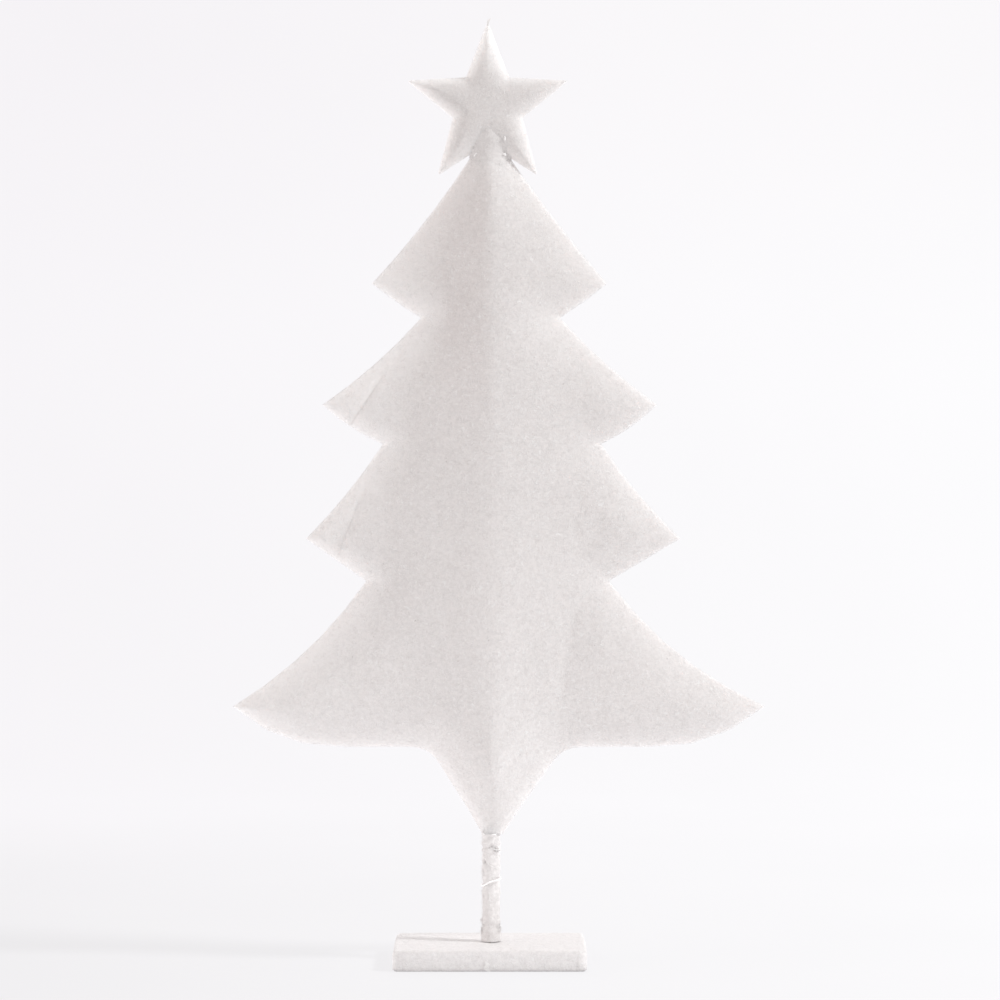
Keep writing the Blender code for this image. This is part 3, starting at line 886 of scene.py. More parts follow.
def creased(pillow, flat, depth, tip_flat):
    """The front panel with its pressed creases, and with flat cloth outside them."""
    thin = tip_flat * np.sqrt(1 - (1 - np.minimum(depth / SEAM_REACH, 1)) ** 2)
    for upper, lower, crease, _ in CREASES:
        run = np.array(lower) - np.array(upper)
        run /= np.linalg.norm(run)
        outward = np.array((run[1], -run[0])) * math.copysign(1, upper[0] * run[1])
        away = (flat - np.array(upper)) @ outward
        along = (flat - np.array(upper)) @ run
        near = smooth_step(-0.030, -0.010, along) * (1 - smooth_step(0.050, 0.070, along))
        share = smooth_step(-0.006, 0.006, away) * near
        pillow = pillow + (np.minimum(thin, pillow) - pillow) * share
        pillow = pillow - crease * hump(away, CREASE_WIDTH) * near * smooth_step(0.001, 0.006, depth)
    return pillow


def tree_padding(flat, loop, shape, seed=0):
    """Half the tree's thickness at each point of the plane. seed is 0 for the front and 1 for the back."""
    x, z = flat[:, 0], flat[:, 1]
    climb = (z - TRUNK_TOP) / (SHOULDER_HEIGHT - TRUNK_TOP)
    on_left = x < RIDGE_SHIFT
    valley = np.where(on_left, mixed(VALLEY_LEFT, climb), mixed(VALLEY_RIGHT, climb))
    wing, ridge, blunt = (mixed(pair, climb) for pair in (WING, RIDGE, RIDGE_ROUND))
    across = (np.sqrt((x - RIDGE_SHIFT) ** 2 + blunt**2) - blunt) / valley
    bend = np.where(on_left, mixed(BEND_LEFT, climb), mixed(BEND_RIGHT, climb * 2))
    tent = np.maximum(1 - across, 0) ** bend
    dip = np.where(on_left, 0, DIP_DEPTH) * hump(z - DIP_HEIGHT, DIP_REACH[0]) * hump(across - 1, DIP_REACH[1])
    depth = depth_inside(flat, loop)
    pillow = rounded(np.minimum(depth / TREE_ROLL, 1), 0.65) * (wing * (1 - dip) + (ridge - wing) * tent)
    level = smooth_step(0, 0.012, depth) * smooth_step(0, 0.010, np.abs(x - RIDGE_SHIFT))
    pillow += lumps(flat, shape.lump, seed) * level
    pillow -= pucker(flat, seed) * np.exp(-depth / SEAM_REACH)
    if seed == 0:
        pillow = creased(pillow, flat, depth, shape.tip_flat)
    trunk = np.clip((z - MOUTH_HEIGHT) / TRUNK_RISE, 0, 1)
    middle = RIDGE_SHIFT * trunk
    left, right = (low + (high - low) * trunk for low, high in zip(MOUTH_SIDES, TRUNK_SIDES))
    column = np.clip(np.where(x < middle, (middle - x) / (middle + left), (x - middle) / (right - middle)), 0, 1)
    pillow = np.where(z > SHOULDER_HEIGHT - 0.022, np.maximum(pillow, over_dowel(x, LIP_RADIUS)), pillow)
    tube = mixed((MOUTH_SIDES[0], RIDGE[0]), trunk) * np.sqrt(1 - column**2)
    return tube + (pillow - tube) * trunk


def away_from_dowel(middle):
    return np.hypot(middle[:, 0], middle[:, 1]) > 0.004


class PADDEDTREE_OT_tree(Operator):
    """Makes the padded tree from its front and back panels"""

    bl_idname = "padded_tree.tree"
    bl_label = "Padded tree"
    bl_options = {"REGISTER", "UNDO"}

    def execute(self, context):
        shape = context.scene.tree_shape
        loop = neck_rim([(p.x, p.z, -p.y if p.y < -CLEARANCE else 0.0) for p in outline_of("tree_front_cover")])
        loop = [(x, z - MOUTH_DROP if z < MOUTH_HEIGHT + CLEARANCE else z, gap) for x, z, gap in loop]
        loop = curve_corners(loop, ((-TRUNK_SIDES[0], TRUNK_TOP), (TRUNK_SIDES[1], TRUNK_TOP)), HEM_CURVE)
        ridge = ((RIDGE_SHIFT, MOUTH_HEIGHT + 0.008), (RIDGE_SHIFT, TREE_HIGH.z - 0.006))
        flat, faces, kind, opening = flat_panel(loop, shape.spacing, ridge, seed=11)
        sides = [tree_padding(flat, loop, shape, seed) * shape.start_share for seed in (0, 1)]
        pillow = closed_pillow("tree_pillow", flat, faces, kind, opening, *sides)
        blow_up(pillow, shape, "held")
        line_bore(pillow)
        subdivide_once(pillow, sharp_corners(loop))
        # Painted light where the tree has hardly any wadding and on its low left wings, and painted shade on its left
        # flank and its creases' lines
        finish_piece(pillow, fleece_material("tree_fleece", thin=0.46, creases=CREASES),
                     ("tree_front_cover", "tree_back_cover", "tree_filling"))
        # The seam has more loose fibres than the panels
        add_fuzz("tree", pillow, context.scene.tree_fuzz.tree_count, seed=21,
                 wanted=lambda middle, normal: away_from_dowel(middle) * (1.0 + 1.5 * (np.abs(middle[:, 1]) < 0.0025)))
        return {"FINISHED"}


def subdivide_once(obj, corners):
    """Smooth faces twice as fine. The seam keeps its line, and its corners stay sharp."""
    mesh = obj.data
    index = obj.vertex_groups["seam"].index
    on_seam = {v.index for v in mesh.vertices if any(g.group == index for g in v.groups)}
    sharp = mesh.attributes.new("crease_edge", "FLOAT", "EDGE")
    held = mesh.attributes.new("crease_vert", "FLOAT", "POINT")
    for edge in mesh.edges:
        if all(end in on_seam for end in edge.vertices):
            closed = all(abs(mesh.vertices[end].co.y) < CLEARANCE for end in edge.vertices)
            sharp.data[edge.index].value = 1.0 if closed else 0.8
    for number in on_seam:
        here = mesh.vertices[number].co
        if any(math.hypot(here.x - x, here.z - z) < 1e-5 for x, z in corners):
            held.data[number].value = 1.0
    for polygon in mesh.polygons:
        polygon.use_smooth = True
    modifier = obj.modifiers.new("even_out", "SUBSURF")
    modifier.levels = modifier.render_levels = 1
    apply_modifiers(obj)


def sharp_corners(loop):
    """The points of an outline where it turns by more than SHARP_TURN."""
    found = []
    for before, here, after in zip(loop[-1:] + loop[:-1], loop, loop[1:] + loop[:1]):
        first = math.atan2(here[1] - before[1], here[0] - before[0])
        second = math.atan2(after[1] - here[1], after[0] - here[0])
        if abs(math.remainder(second - first, math.tau)) > SHARP_TURN:
            found.append((here[0], here[1]))
    return found


def star_loop():
    """The star's outline, with close points by the lowest notch, where its seam opens round the dowel."""
    corners = []
    for number in range(10):
        angle = math.tau * number / 10
        radius = STAR_NOTCH if number % 2 else STAR_REACH
        corners.append(Vector((radius * math.sin(angle), radius * math.cos(angle))) + STAR_MIDDLE)
    points = []
    for number, corner in enumerate(corners):
        points.append(corner)
        after = corners[(number + 1) % 10]
        if number in (4, 5):
            steps = NECK_STEPS if number == 5 else [1 - step for step in reversed(NECK_STEPS)]
            points += [corner.lerp(after, step) for step in steps]
    loop = []
    for point in points:
        low = point.y < STAR_MIDDLE.y - STAR_NOTCH * 0.8
        loop.append((point.x, point.y, math.sqrt(max(NECK_RADIUS**2 - point.x**2, 0)) if low else 0.0))
    return loop


def star_padding(flat, depth):
    """Half the star's thickness at each point of the plane, fuller round the lowest notch."""
    padding = STAR_CROWN * rounded(np.minimum(depth / STAR_ROLL, 1), 0.6) * 0.95
    low = flat[:, 1] < STAR_MIDDLE.y - 0.010
    padding = np.where(low, np.maximum(padding, over_dowel(flat[:, 0], NECK_RADIUS)), padding)
    full = np.exp(-((flat[:, 0] / 0.0095) ** 2) - ((flat[:, 1] - NOTCH_HEIGHT - 0.004) / 0.011) ** 2)
    full *= NOTCH_CROWN * smooth_step(0, 0.0022, depth)
    return (padding + full + np.sqrt((padding - full) ** 2 + 0.0006**2)) / 2


class PADDEDTREE_OT_star(Operator):
    """Makes the padded star from its front and back panels"""

    bl_idname = "padded_tree.star"
    bl_label = "Padded star"
    bl_options = {"REGISTER", "UNDO"}

    def execute(self, context):
        shape = context.scene.tree_star
        loop = star_loop()
        tips = [(x, z) for x, z, _ in loop if apart(STAR_MIDDLE, (x, z)) > STAR_REACH - 1e-5]
        loop = curve_corners(loop, tips, STAR_BLUNT)
        flat, faces, kind, opening = flat_panel(loop, shape.spacing, None, seed=5)
        depth = depth_inside(flat, loop)
        padding = star_padding(flat, depth)
        sides = [padding + lumps(flat, context.scene.tree_shape.lump, seed) * 0.5 * smooth_step(0, 0.008, depth)
                 - pucker(flat, seed) * np.exp(-depth / 0.003) for seed in (0, 1)]
        star = closed_pillow("star_pillow", flat, faces, kind, opening, *sides)
        blow_up(star, shape, "seam")
        line_bore(star, top=DOWEL_HIGH.z + CLEARANCE)
        subdivide_once(star, sharp_corners(loop))
        # Painted shade makes the star a little darker than the tree, and painted light lightens its thin edges and its
        # upper arms
        surface = fleece_material("star_fleece", shade=0.97, thin=0.40, wadding=(0.002, 0.006),
                                  top=(0.558, 0.582, 0.50))
        finish_piece(star, surface, ("star_front_cover", "star_back_cover", "star_filling"))
        add_fuzz("star", star, 520, seed=23, share=0.85,
                 wanted=lambda middle, normal: away_from_dowel(middle) * 1.0)
        return {"FINISHED"}


# ---------------------------------------------------------------- loose fibres and threads


def curled_tubes(name, starts, headings, normals, lengths, widths, draw):
    """A thin tapered tube for each fibre, curling at random over the surface that it grows from."""
    count, joints = len(starts), FIBRE_JOINTS
    side = unit(np.cross(headings, normals))
    bend = draw.uniform(-1.5, 1.5, count) / joints
    rise = draw.uniform(-0.35, 0.35, count) / joints
    here, way = starts, headings
    sections = []
    corners = [math.tau * n / 3 for n in range(3)]
    for joint in range(joints + 1):
        taper = 1 - 0.65 * joint / joints
        up = unit(np.cross(side, way))
        ring = [here + (side * math.cos(c) + up * math.sin(c)) * (widths * taper / 2)[:, None] for c in corners]
        sections.append(np.stack(ring, axis=1))
        way = unit(way + side * bend[:, None] + normals * rise[:, None])
        side = unit(np.cross(way, normals))
        here = here + way * (lengths / joints)[:, None]
    points = np.stack(sections, axis=1).reshape(-1, 3)
    points[:, 2] = np.maximum(points[:, 2], 0.0001)
    per = 3 * (joints + 1)
    local = [(3 * j + n, 3 * j + (n + 1) % 3, 3 * j + 3 + (n + 1) % 3, 3 * j + 3 + n)
             for j in range(joints) for n in range(3)]
    first = np.arange(count)[:, None, None] * per
    quads = (first + np.array(local)[None]).reshape(-1, 4)
    ends = (first + np.array([(2, 1, 0), (per - 3, per - 2, per - 1)])[None]).reshape(-1, 3)
    made = object_from(name, points, quads.tolist() + ends.tolist())
    for polygon in made.data.polygons:
        polygon.use_smooth = True
    return made


def add_fuzz(name, source, count, seed, wanted, share=1.0, stand=0.35):
    """Loose fibres at random places of a piece's surface, as a piece of their own. wanted says how many grow where,
    share how long they are and stand how steeply they leave the surface."""
    look = bpy.context.scene.tree_fuzz
    mesh = source.data
    mesh.calc_loop_triangles()
    corners = np.array([t.vertices[:] for t in mesh.loop_triangles])
    points = points_of(mesh)
    a, b, c = (points[corners[:, n]] for n in range(3))
    cross = np.cross(b - a, c - a)
    area = np.linalg.norm(cross, axis=1) * wanted((a + b + c) / 3, unit(cross))
    draw = np.random.default_rng(seed)
    picked = draw.choice(len(area), count, p=area / area.sum())
    first, second = draw.random(count), draw.random(count)
    over = first + second > 1
    first[over], second[over] = 1 - first[over], 1 - second[over]
    starts = a[picked] + (b - a)[picked] * first[:, None] + (c - a)[picked] * second[:, None]
    normals = unit(cross)[picked]
    random_way = draw.normal(size=(count, 3))
    along = unit(random_way - normals * (random_way * normals).sum(1)[:, None])
    headings = unit(along + normals * (draw.uniform(0.1, 1.0, count) * stand)[:, None])
    lengths = look.length * share * draw.uniform(0.45, 1.5, count)
    widths = look.width * draw.uniform(0.7, 1.25, count)
    starts = starts - normals * look.width * 0.4
    hair = curled_tubes(f"{name}_fuzz", starts, headings, normals, lengths, widths, draw)
    finish_piece(hair, fibre_material(f"{name}_fibres"))


def add_threads(name, paths, width, surface):
    """One piece of round threads, each along a list of points."""
    curve = bpy.data.curves.new(name, "CURVE")
    curve.dimensions = "3D"
    curve.bevel_depth = width / 2
    curve.bevel_resolution = 1
    curve.use_fill_caps = True
    for path in paths:
        spline = curve.splines.new("POLY")
        spline.points.add(len(path) - 1)
        for point, place in zip(spline.points, path):
            point.co = (*place, 1)
    make_active(new_object(name, curve))
    bpy.ops.object.convert(target="MESH")
    bpy.ops.object.shade_smooth()
    finish_piece(bpy.context.object, surface)


def twisted(line, width, pitch):
    """Paths of the two plies of a thread that twist round a middle line."""
    gone, reach = 0.0, []
    for before, point in zip(line[:1] + line, line):
        gone += (point - before).length
        reach.append(gone)
    made = []
    for ply in (0, 0.5):
        strand = []
        for number, point in enumerate(line):
            along = line[min(number + 1, len(line) - 1)] - line[max(number - 1, 0)]
            side = along.cross(Vector((0, 0, 1)))
            side = side.normalized() if side.length > 1e-9 else Vector((1, 0, 0))
            up = side.cross(along).normalized()
            angle = math.tau * (reach[number] / pitch + ply)
            strand.append(point + (side * math.cos(angle) + up * math.sin(angle)) * width / 4)
        made.append(strand)
    return made


def dense(path, gap):
    """The path with points no further apart than gap, on a smooth curve through the given ones."""
    line = [Vector(p) for p in path]
    made = []
    for number in range(len(line) - 1):
        before, start = line[max(number - 1, 0)], line[number]
        end, after = line[number + 1], line[min(number + 2, len(line) - 1)]
        steps = max(1, math.ceil((end - start).length / gap))
        for step in range(steps):
            t = step / steps
            made.append(0.5 * (2 * start + (end - before) * t + (2 * before - 5 * start + 4 * end - after) * t**2
                               + (3 * start - before - 3 * end + after) * t**3))
    return made + [line[-1]]


# ---------------------------------------------------------------- stem


LAP_START = math.radians(375)
LAP_RAMP = math.radians(50)
LAP_OVER = math.radians(80)
SLEEVE_TURN = math.tau + LAP_OVER
FOOT_FLARE = 0.0008
FOOT_HEIGHT = 0.009
# The strip's torn end: from which share of its length it gets thin and its edge comes and goes, and by how much
END_THINS = 0.82
END_TEARS = 0.93
TEAR_DEPTH = 0.022
# How deep the binding thread pulls the strip in, and how wide
PINCH = (0.00065, 0.0013)
# Bunched rings under the tree's mouth: their height, how far they stand out and how tall they are
BUNCHES = (
    (0.0822, 0.00025, 0.0016), (0.0759, 0.00060, 0.0010), (0.0715, 0.00070, 0.0009), (0.0660, 0.00035, 0.0018),
    (0.0600, 0.00030, 0.0030), (0.0440, 0.00030, 0.0040), (0.0262, 0.00045, 0.0018), (0.0196, 0.00050, 0.0026),
)
# Tufts of loose fibres: their angle round the dowel in degrees, height and reach
TUFTS = (
    (182, 0.0265, 0.0016), (186, 0.0205, 0.0018), (195, 0.0570, 0.0014), (230, 0.0640, 0.0014),
    (285, 0.0745, 0.0014), (318, 0.0715, 0.0016), (350, 0.0220, 0.0018),
)


def sleeve_radius(turn, thickness=FLEECE):
    """The outer radius of the wrapped sleeve at a turn from where its strip begins."""
    climbed = (FLEECE + CLEARANCE) * min(max((turn - math.tau + LAP_RAMP) / LAP_RAMP, 0), 1)
    return DOWEL_RADIUS + CLEARANCE + climbed + thickness


def sleeve_surface(angle):
    """The radius of whatever is outermost on the sleeve at an angle round the dowel."""
    turn = (LAP_START - angle) % math.tau
    return sleeve_radius(turn + math.tau if turn < LAP_OVER else turn)


def mouth_radius(angle):
    """How far the tree's mouth reaches at an angle round the dowel."""
    wide, deep = MOUTH_SIDES[math.cos(angle) > 0], MOUTH_SIDES[0]
    return wide * deep / math.hypot(deep * math.cos(angle), wide * math.sin(angle))


def by_tufts(middle, normal):
    """More fibres on the left, which is the strip's rough side, and most of all at its tufts."""
    wanted = 0.25 + (middle[:, 0] < -0.003) * 1.6 + (middle[:, 2] < FOOT_HEIGHT) * 0.8
    for degrees, level, reach in TUFTS:
        far = (middle - about_axis(0.006, math.radians(degrees), level)) / reach
        wanted += 22 * np.exp(-(far**2).sum(1))
    return wanted


class PADDEDTREE_OT_stem(Operator):
    """Makes the fleece strip that is wrapped round the dowel, with its rough edge"""

    bl_idname = "padded_tree.stem"
    bl_label = "Wrapped stem"
    bl_options = {"REGISTER", "UNDO"}

    def execute(self, context):
        low, height = SLEEVE_LOW.z, SLEEVE_HIGH.z - SLEEVE_LOW.z
        length = math.tau * sleeve_radius(0, FLEECE / 2) + LAP_OVER * sleeve_radius(SLEEVE_TURN, FLEECE / 2)
        deselect()
        bpy.ops.mesh.primitive_grid_add(
            x_subdivisions=110, y_subdivisions=150, size=1, location=(length / 2, 0, low + height / 2),
            rotation=(math.pi / 2, 0, 0),
        )
        strip = named("stem_wrap", (length, height, 1))
        flat = points_of(strip.data)
        set_points(strip.data, self.rolled(context.scene.tree_stem, flat, flat[:, 0] / length))
        make_active(strip)
        bpy.ops.object.mode_set(mode="EDIT")
        bpy.ops.mesh.select_all(action="SELECT")
        bpy.ops.mesh.normals_make_consistent(inside=False)
        bpy.ops.object.mode_set(mode="OBJECT")
        full = strip.vertex_groups.new(name="full")
        for number, thin in enumerate(smooth_step(END_THINS, 1.0, flat[:, 0] / length)):
            full.add([number], 1 - 0.94 * float(thin), "REPLACE")
        thicken(strip, FLEECE * 1.15, 0.15, "full")
        # Painted light: the stem's fleece is a little lighter than the tree's, standing in for light that shines
        # through its fluff
        finish_piece(strip, fleece_material("stem_fleece", shade=1.04, spread=0.0, pits=0.30),
                     ("stem_sleeve",))
        add_fuzz("stem", strip, 2200, seed=31, wanted=by_tufts, share=0.75, stand=0.8)
        return {"FINISHED"}

    def rolled(self, shape, flat, shares):
        """The strip's points round the dowel, with its bumps, its bunched rings and its torn end."""
        bumps = soft_noise(flat, 300, 1) + 0.9 * soft_noise(flat, 620, 2)
        ragged = soft_noise(flat[:, 2:] * (1, 0, 0), 520, 3)
        points = []
        for z, share, bump, tear in zip(flat[:, 2], shares, bumps, ragged):
            turn = SLEEVE_TURN * (share + TEAR_DEPTH * smooth_step(END_TEARS, 1.0, share) * tear)
            angle = LAP_START - turn
            flare = FOOT_FLARE * max(1 - (z - SLEEVE_LOW.z) / FOOT_HEIGHT, 0) ** 2
            rings = sum(out * hump(z - at, tall) for at, out, tall in BUNCHES)
            pinch = PINCH[0] * hump(z - shape.thread_height - shape.thread_tilt * math.cos(angle), PINCH[1])
            over = smooth_step(math.tau - LAP_RAMP, math.tau + 0.3, turn)
            lift = 0.00025 * over - 0.00118 * smooth_step(END_THINS, 1.0, share)
            radius = sleeve_radius(turn, FLEECE / 2) + flare + rings - pinch + shape.roughness * bump + lift
            points.append(about_axis(radius, angle, z))
        return points


# ---------------------------------------------------------------- neck and threads


# Wisps that lie on the stem: angle and height of each point that they pass
WISPS = (
    ((205, 0.0668), (226, 0.0672), (250, 0.0640), (272, 0.0622), (296, 0.0612)),
    ((258, 0.0722), (285, 0.0727), (315, 0.0719), (345, 0.0722)),
    ((215, 0.0757), (245, 0.0762), (280, 0.0758)),
    ((190, 0.0245), (205, 0.0232), (222, 0.0240)),
    ((262, 0.0452), (268, 0.0420), (259, 0.0395)),
)
# Stitches at the mouth: the angles round the dowel between which each one lies, in degrees, and its height
MOUTH_STITCHES = (
    (281, 313, 0.0817), (214, 226, 0.0820), (152, 180, 0.0820), (88, 121, 0.0825), (25, 55, 0.0821),
)
# Stitches at the neck: x, z and how far out of the cloth each point of a path lies
NECK_STITCHES = (
    ((0.0082, 0.5160, -0.0003), (0.0086, 0.5150, 0.0005), (0.0091, 0.5155, 0.0009), (0.0097, 0.5150, 0.0006),
     (0.0092, 0.5144, 0.0008), (0.0087, 0.5149, 0.0008), (0.0093, 0.5151, 0.0012), (0.0102, 0.5142, -0.0003)),
    ((0.0130, 0.5100, -0.0003), (0.0138, 0.5084, 0.0004), (0.0146, 0.5068, 0.0004), (0.0153, 0.5052, -0.0003)),
    ((-0.0100, 0.5140, -0.0003), (-0.0092, 0.5150, 0.0004), (-0.0084, 0.5158, -0.0003)),
    ((0.0094, 0.5262, -0.0003), (0.0097, 0.5249, 0.0003), (0.0096, 0.5236, -0.0003)),
)
# The binding thread: how often its path is measured, and the end that hangs from it
BINDING_STEPS = 84
BINDING_TAIL = ((-0.0006, 0.0009, -0.0014), (-0.0009, 0.0010, -0.0036), (-0.0002, 0.0004, -0.0060))


def on_front(names, places):
    """For each (x, z, out), the place that far in front of whichever of the named pieces is seen from the front
    there, or at the nearest seam."""
    bpy.context.view_layer.update()
    pieces = [bpy.data.objects[name] for name in names]
    made = []
    for x, z, out in places:
        for step in range(17):
            near = x - math.copysign(0.00025 * step, x)
            hits = [obj.ray_cast((near, -0.1, z), (0, 1, 0)) for obj in pieces]
            found = [(place, normal) for hit, place, normal, _ in hits if hit]
            if found:
                place, normal = min(found, key=lambda pair: pair[0].y)
                made.append(place + normal * out)
                break
        else:
            raise RuntimeError(f"No cloth at {x}, {z}")
    return made


def beside_mean(y):
    """The mean of the four neighbours of each inner point of a net."""
    return (y[:-2, 1:-1] + y[2:, 1:-1] + y[1:-1, :-2] + y[1:-1, 2:]) / 4


class PADDEDTREE_OT_neck(Operator):
    """Makes the fold of fleece that lies over the seam between tree and star"""

    bl_idname = "padded_tree.neck"
    bl_label = "Neck fold"
    bl_options = {"REGISTER", "UNDO"}

    def execute(self, context):
        under_it = ["tree_pillow", "star_pillow"]
        across, up = (np.linspace(-1, 1, count) for count in FOLD_NET)
        x = np.repeat(FOLD_MIDDLE + FOLD_REACH * across[:, None], len(up), axis=1)
        seam = NOTCH_HEIGHT - NOTCH_SLOPE * np.hypot(x - STAR_SHIFT, 0.002)
        z = seam + FOLD_HEIGHT * np.sqrt(1 - 0.99 * across[:, None] ** 2) * up
        found = on_front(under_it, [(*place, 0.0) for place in zip(x.flat, z.flat)])
        under = np.array([place.y for place in found]).reshape(x.shape)
        y = under.copy()
        for _ in range(900):
            # Drawn tight over both, as a cloth that lies on them
            y[1:-1, 1:-1] = np.minimum(beside_mean(y), under[1:-1, 1:-1])
        inner = np.minimum(1 - np.abs(across)[:, None], 1 - np.abs(up)[None])
        y += 0.0002 - 0.0004 * smooth_step(0, 0.55, inner)
        for _ in range(12):
            y[1:-1, 1:-1] = beside_mean(y)
        rows = len(up)
        corners = [column * rows + row for column in range(len(across) - 1) for row in range(rows - 1)]
        faces = [(n, n + rows, n + rows + 1, n + 1) for n in corners]
        fold = object_from("neck_fold", zip(x.flat, y.flat, z.flat), faces)
        thicken(fold, FLEECE * 0.5, -1)
        # Painted shade: the fold is a little darker than the tree, between it and the star
        finish_piece(fold, fleece_material("neck_fleece", shade=0.98, spread=0.0))
        return {"FINISHED"}


class PADDEDTREE_OT_threads(Operator):
    """Makes the thread round the stem and the stitches at the mouth and the neck"""

    bl_idname = "padded_tree.threads"
    bl_label = "Threads and stitches"
    bl_options = {"REGISTER", "UNDO"}

    def execute(self, context):
        shape = context.scene.tree_stem
        width = shape.thread_width
        strands = twisted(self.binding(shape), width, 0.0021)
        add_threads("binding_thread", strands, width * 0.62, thread_material("binding_cotton"))
        add_threads("mouth_stitches", self.mouth(), 0.0007, thread_material("mouth_cotton"))
        loose = thread_material("wisp_cotton", (0.94, 0.925, 0.915), 0.05)
        add_threads("loose_wisps", self.wisps(), 0.00042, loose)
        cloth = ("tree_pillow", "star_pillow", "neck_fold")
        neck = [dense(on_front(cloth, path), 0.0005) for path in NECK_STITCHES]
        add_threads("neck_stitches", neck, 0.0008, thread_material("neck_cotton"))
        return {"FINISHED"}

    def binding(self, shape):
        """The middle line of the thread that goes round the stem once and a little more, with its tail."""
        path = []
        for number in range(BINDING_STEPS + 1):
            share = number / BINDING_STEPS
            angle = math.radians(95) + math.radians(388) * share
            radius = sleeve_surface(angle) + 0.0001 + shape.thread_width * 0.40
            level = shape.thread_height - 0.0003 + 0.0009 * share + shape.thread_tilt * math.cos(angle)
            path.append(about_axis(radius, angle, level + 0.0003 * math.sin(3 * angle)))
        tail = [Vector(path[-1]) + Vector(step) for step in ((0, 0, 0), *BINDING_TAIL)]
        return dense(path, 0.0004) + dense(tail, 0.0004)[1:]

    def mouth(self):
        """The stitches that sew the tree's mouth to the sleeve."""
        stitches = []
        for start, end, level in MOUTH_STITCHES:
            path = []
            for share in (0.0, 0.15, 0.5, 0.85, 1.0):
                angle = mixed((math.radians(start), math.radians(end)), share)
                radius = max(sleeve_surface(angle), mouth_radius(angle)) + (0.0004 if 0 < share < 1 else -0.0008)
                path.append(about_axis(radius, angle, level + 0.0003 * math.sin(4 * share)))
            stitches.append(dense(path, 0.0005))
        return stitches

    def wisps(self):
        """Loose strands on the stem, on the base's front and on the star's tip."""
        paths = []
        for number, wisp in enumerate(WISPS):
            for strand in range(4):
                path = []
                for step, (degrees, level) in enumerate(wisp):
                    angle = math.radians(degrees)
                    radius = sleeve_surface(angle) + 0.0004 + 0.0002 * ((step + strand) % 2)
                    rise = 0.00022 * (strand - 1.5) * math.cos(1.7 * step + number + strand)
                    path.append(about_axis(radius, angle, level + rise))
                paths.append(path)
        front, tip = -BASE_HIGH.y, STAR_SHIFT
        for aside in (0.0005 * (strand - 2) for strand in range(5)):
            paths.append([(-0.0026 + aside * 0.5, front - 0.0001, 0.0070 - abs(aside)),
                          (-0.0014 + aside, front - 0.0007, 0.0046), (-0.0022 + aside * 1.3, front - 0.0009, 0.0024),
                          (-0.0006 + aside * 0.8, front - 0.0004, 0.0004)])
        for aside in (0.0003 * (strand - 1.5) for strand in range(4)):
            paths.append([(tip + aside, -0.0006, 0.5970), (tip + 0.0003 + aside, -0.0009, 0.5996),
                          (tip + 0.0014 + aside * 2, -0.0007, 0.6018)])
        return [dense(path, 0.0006) for path in paths]


# ---------------------------------------------------------------- base


# The cover's edges are rounded by this much: those that stand up, the upper ones and the lower ones
EDGE_ROUND = (0.0045, 0.0026, 0.0006)
FELT_CORNER = 0.0042


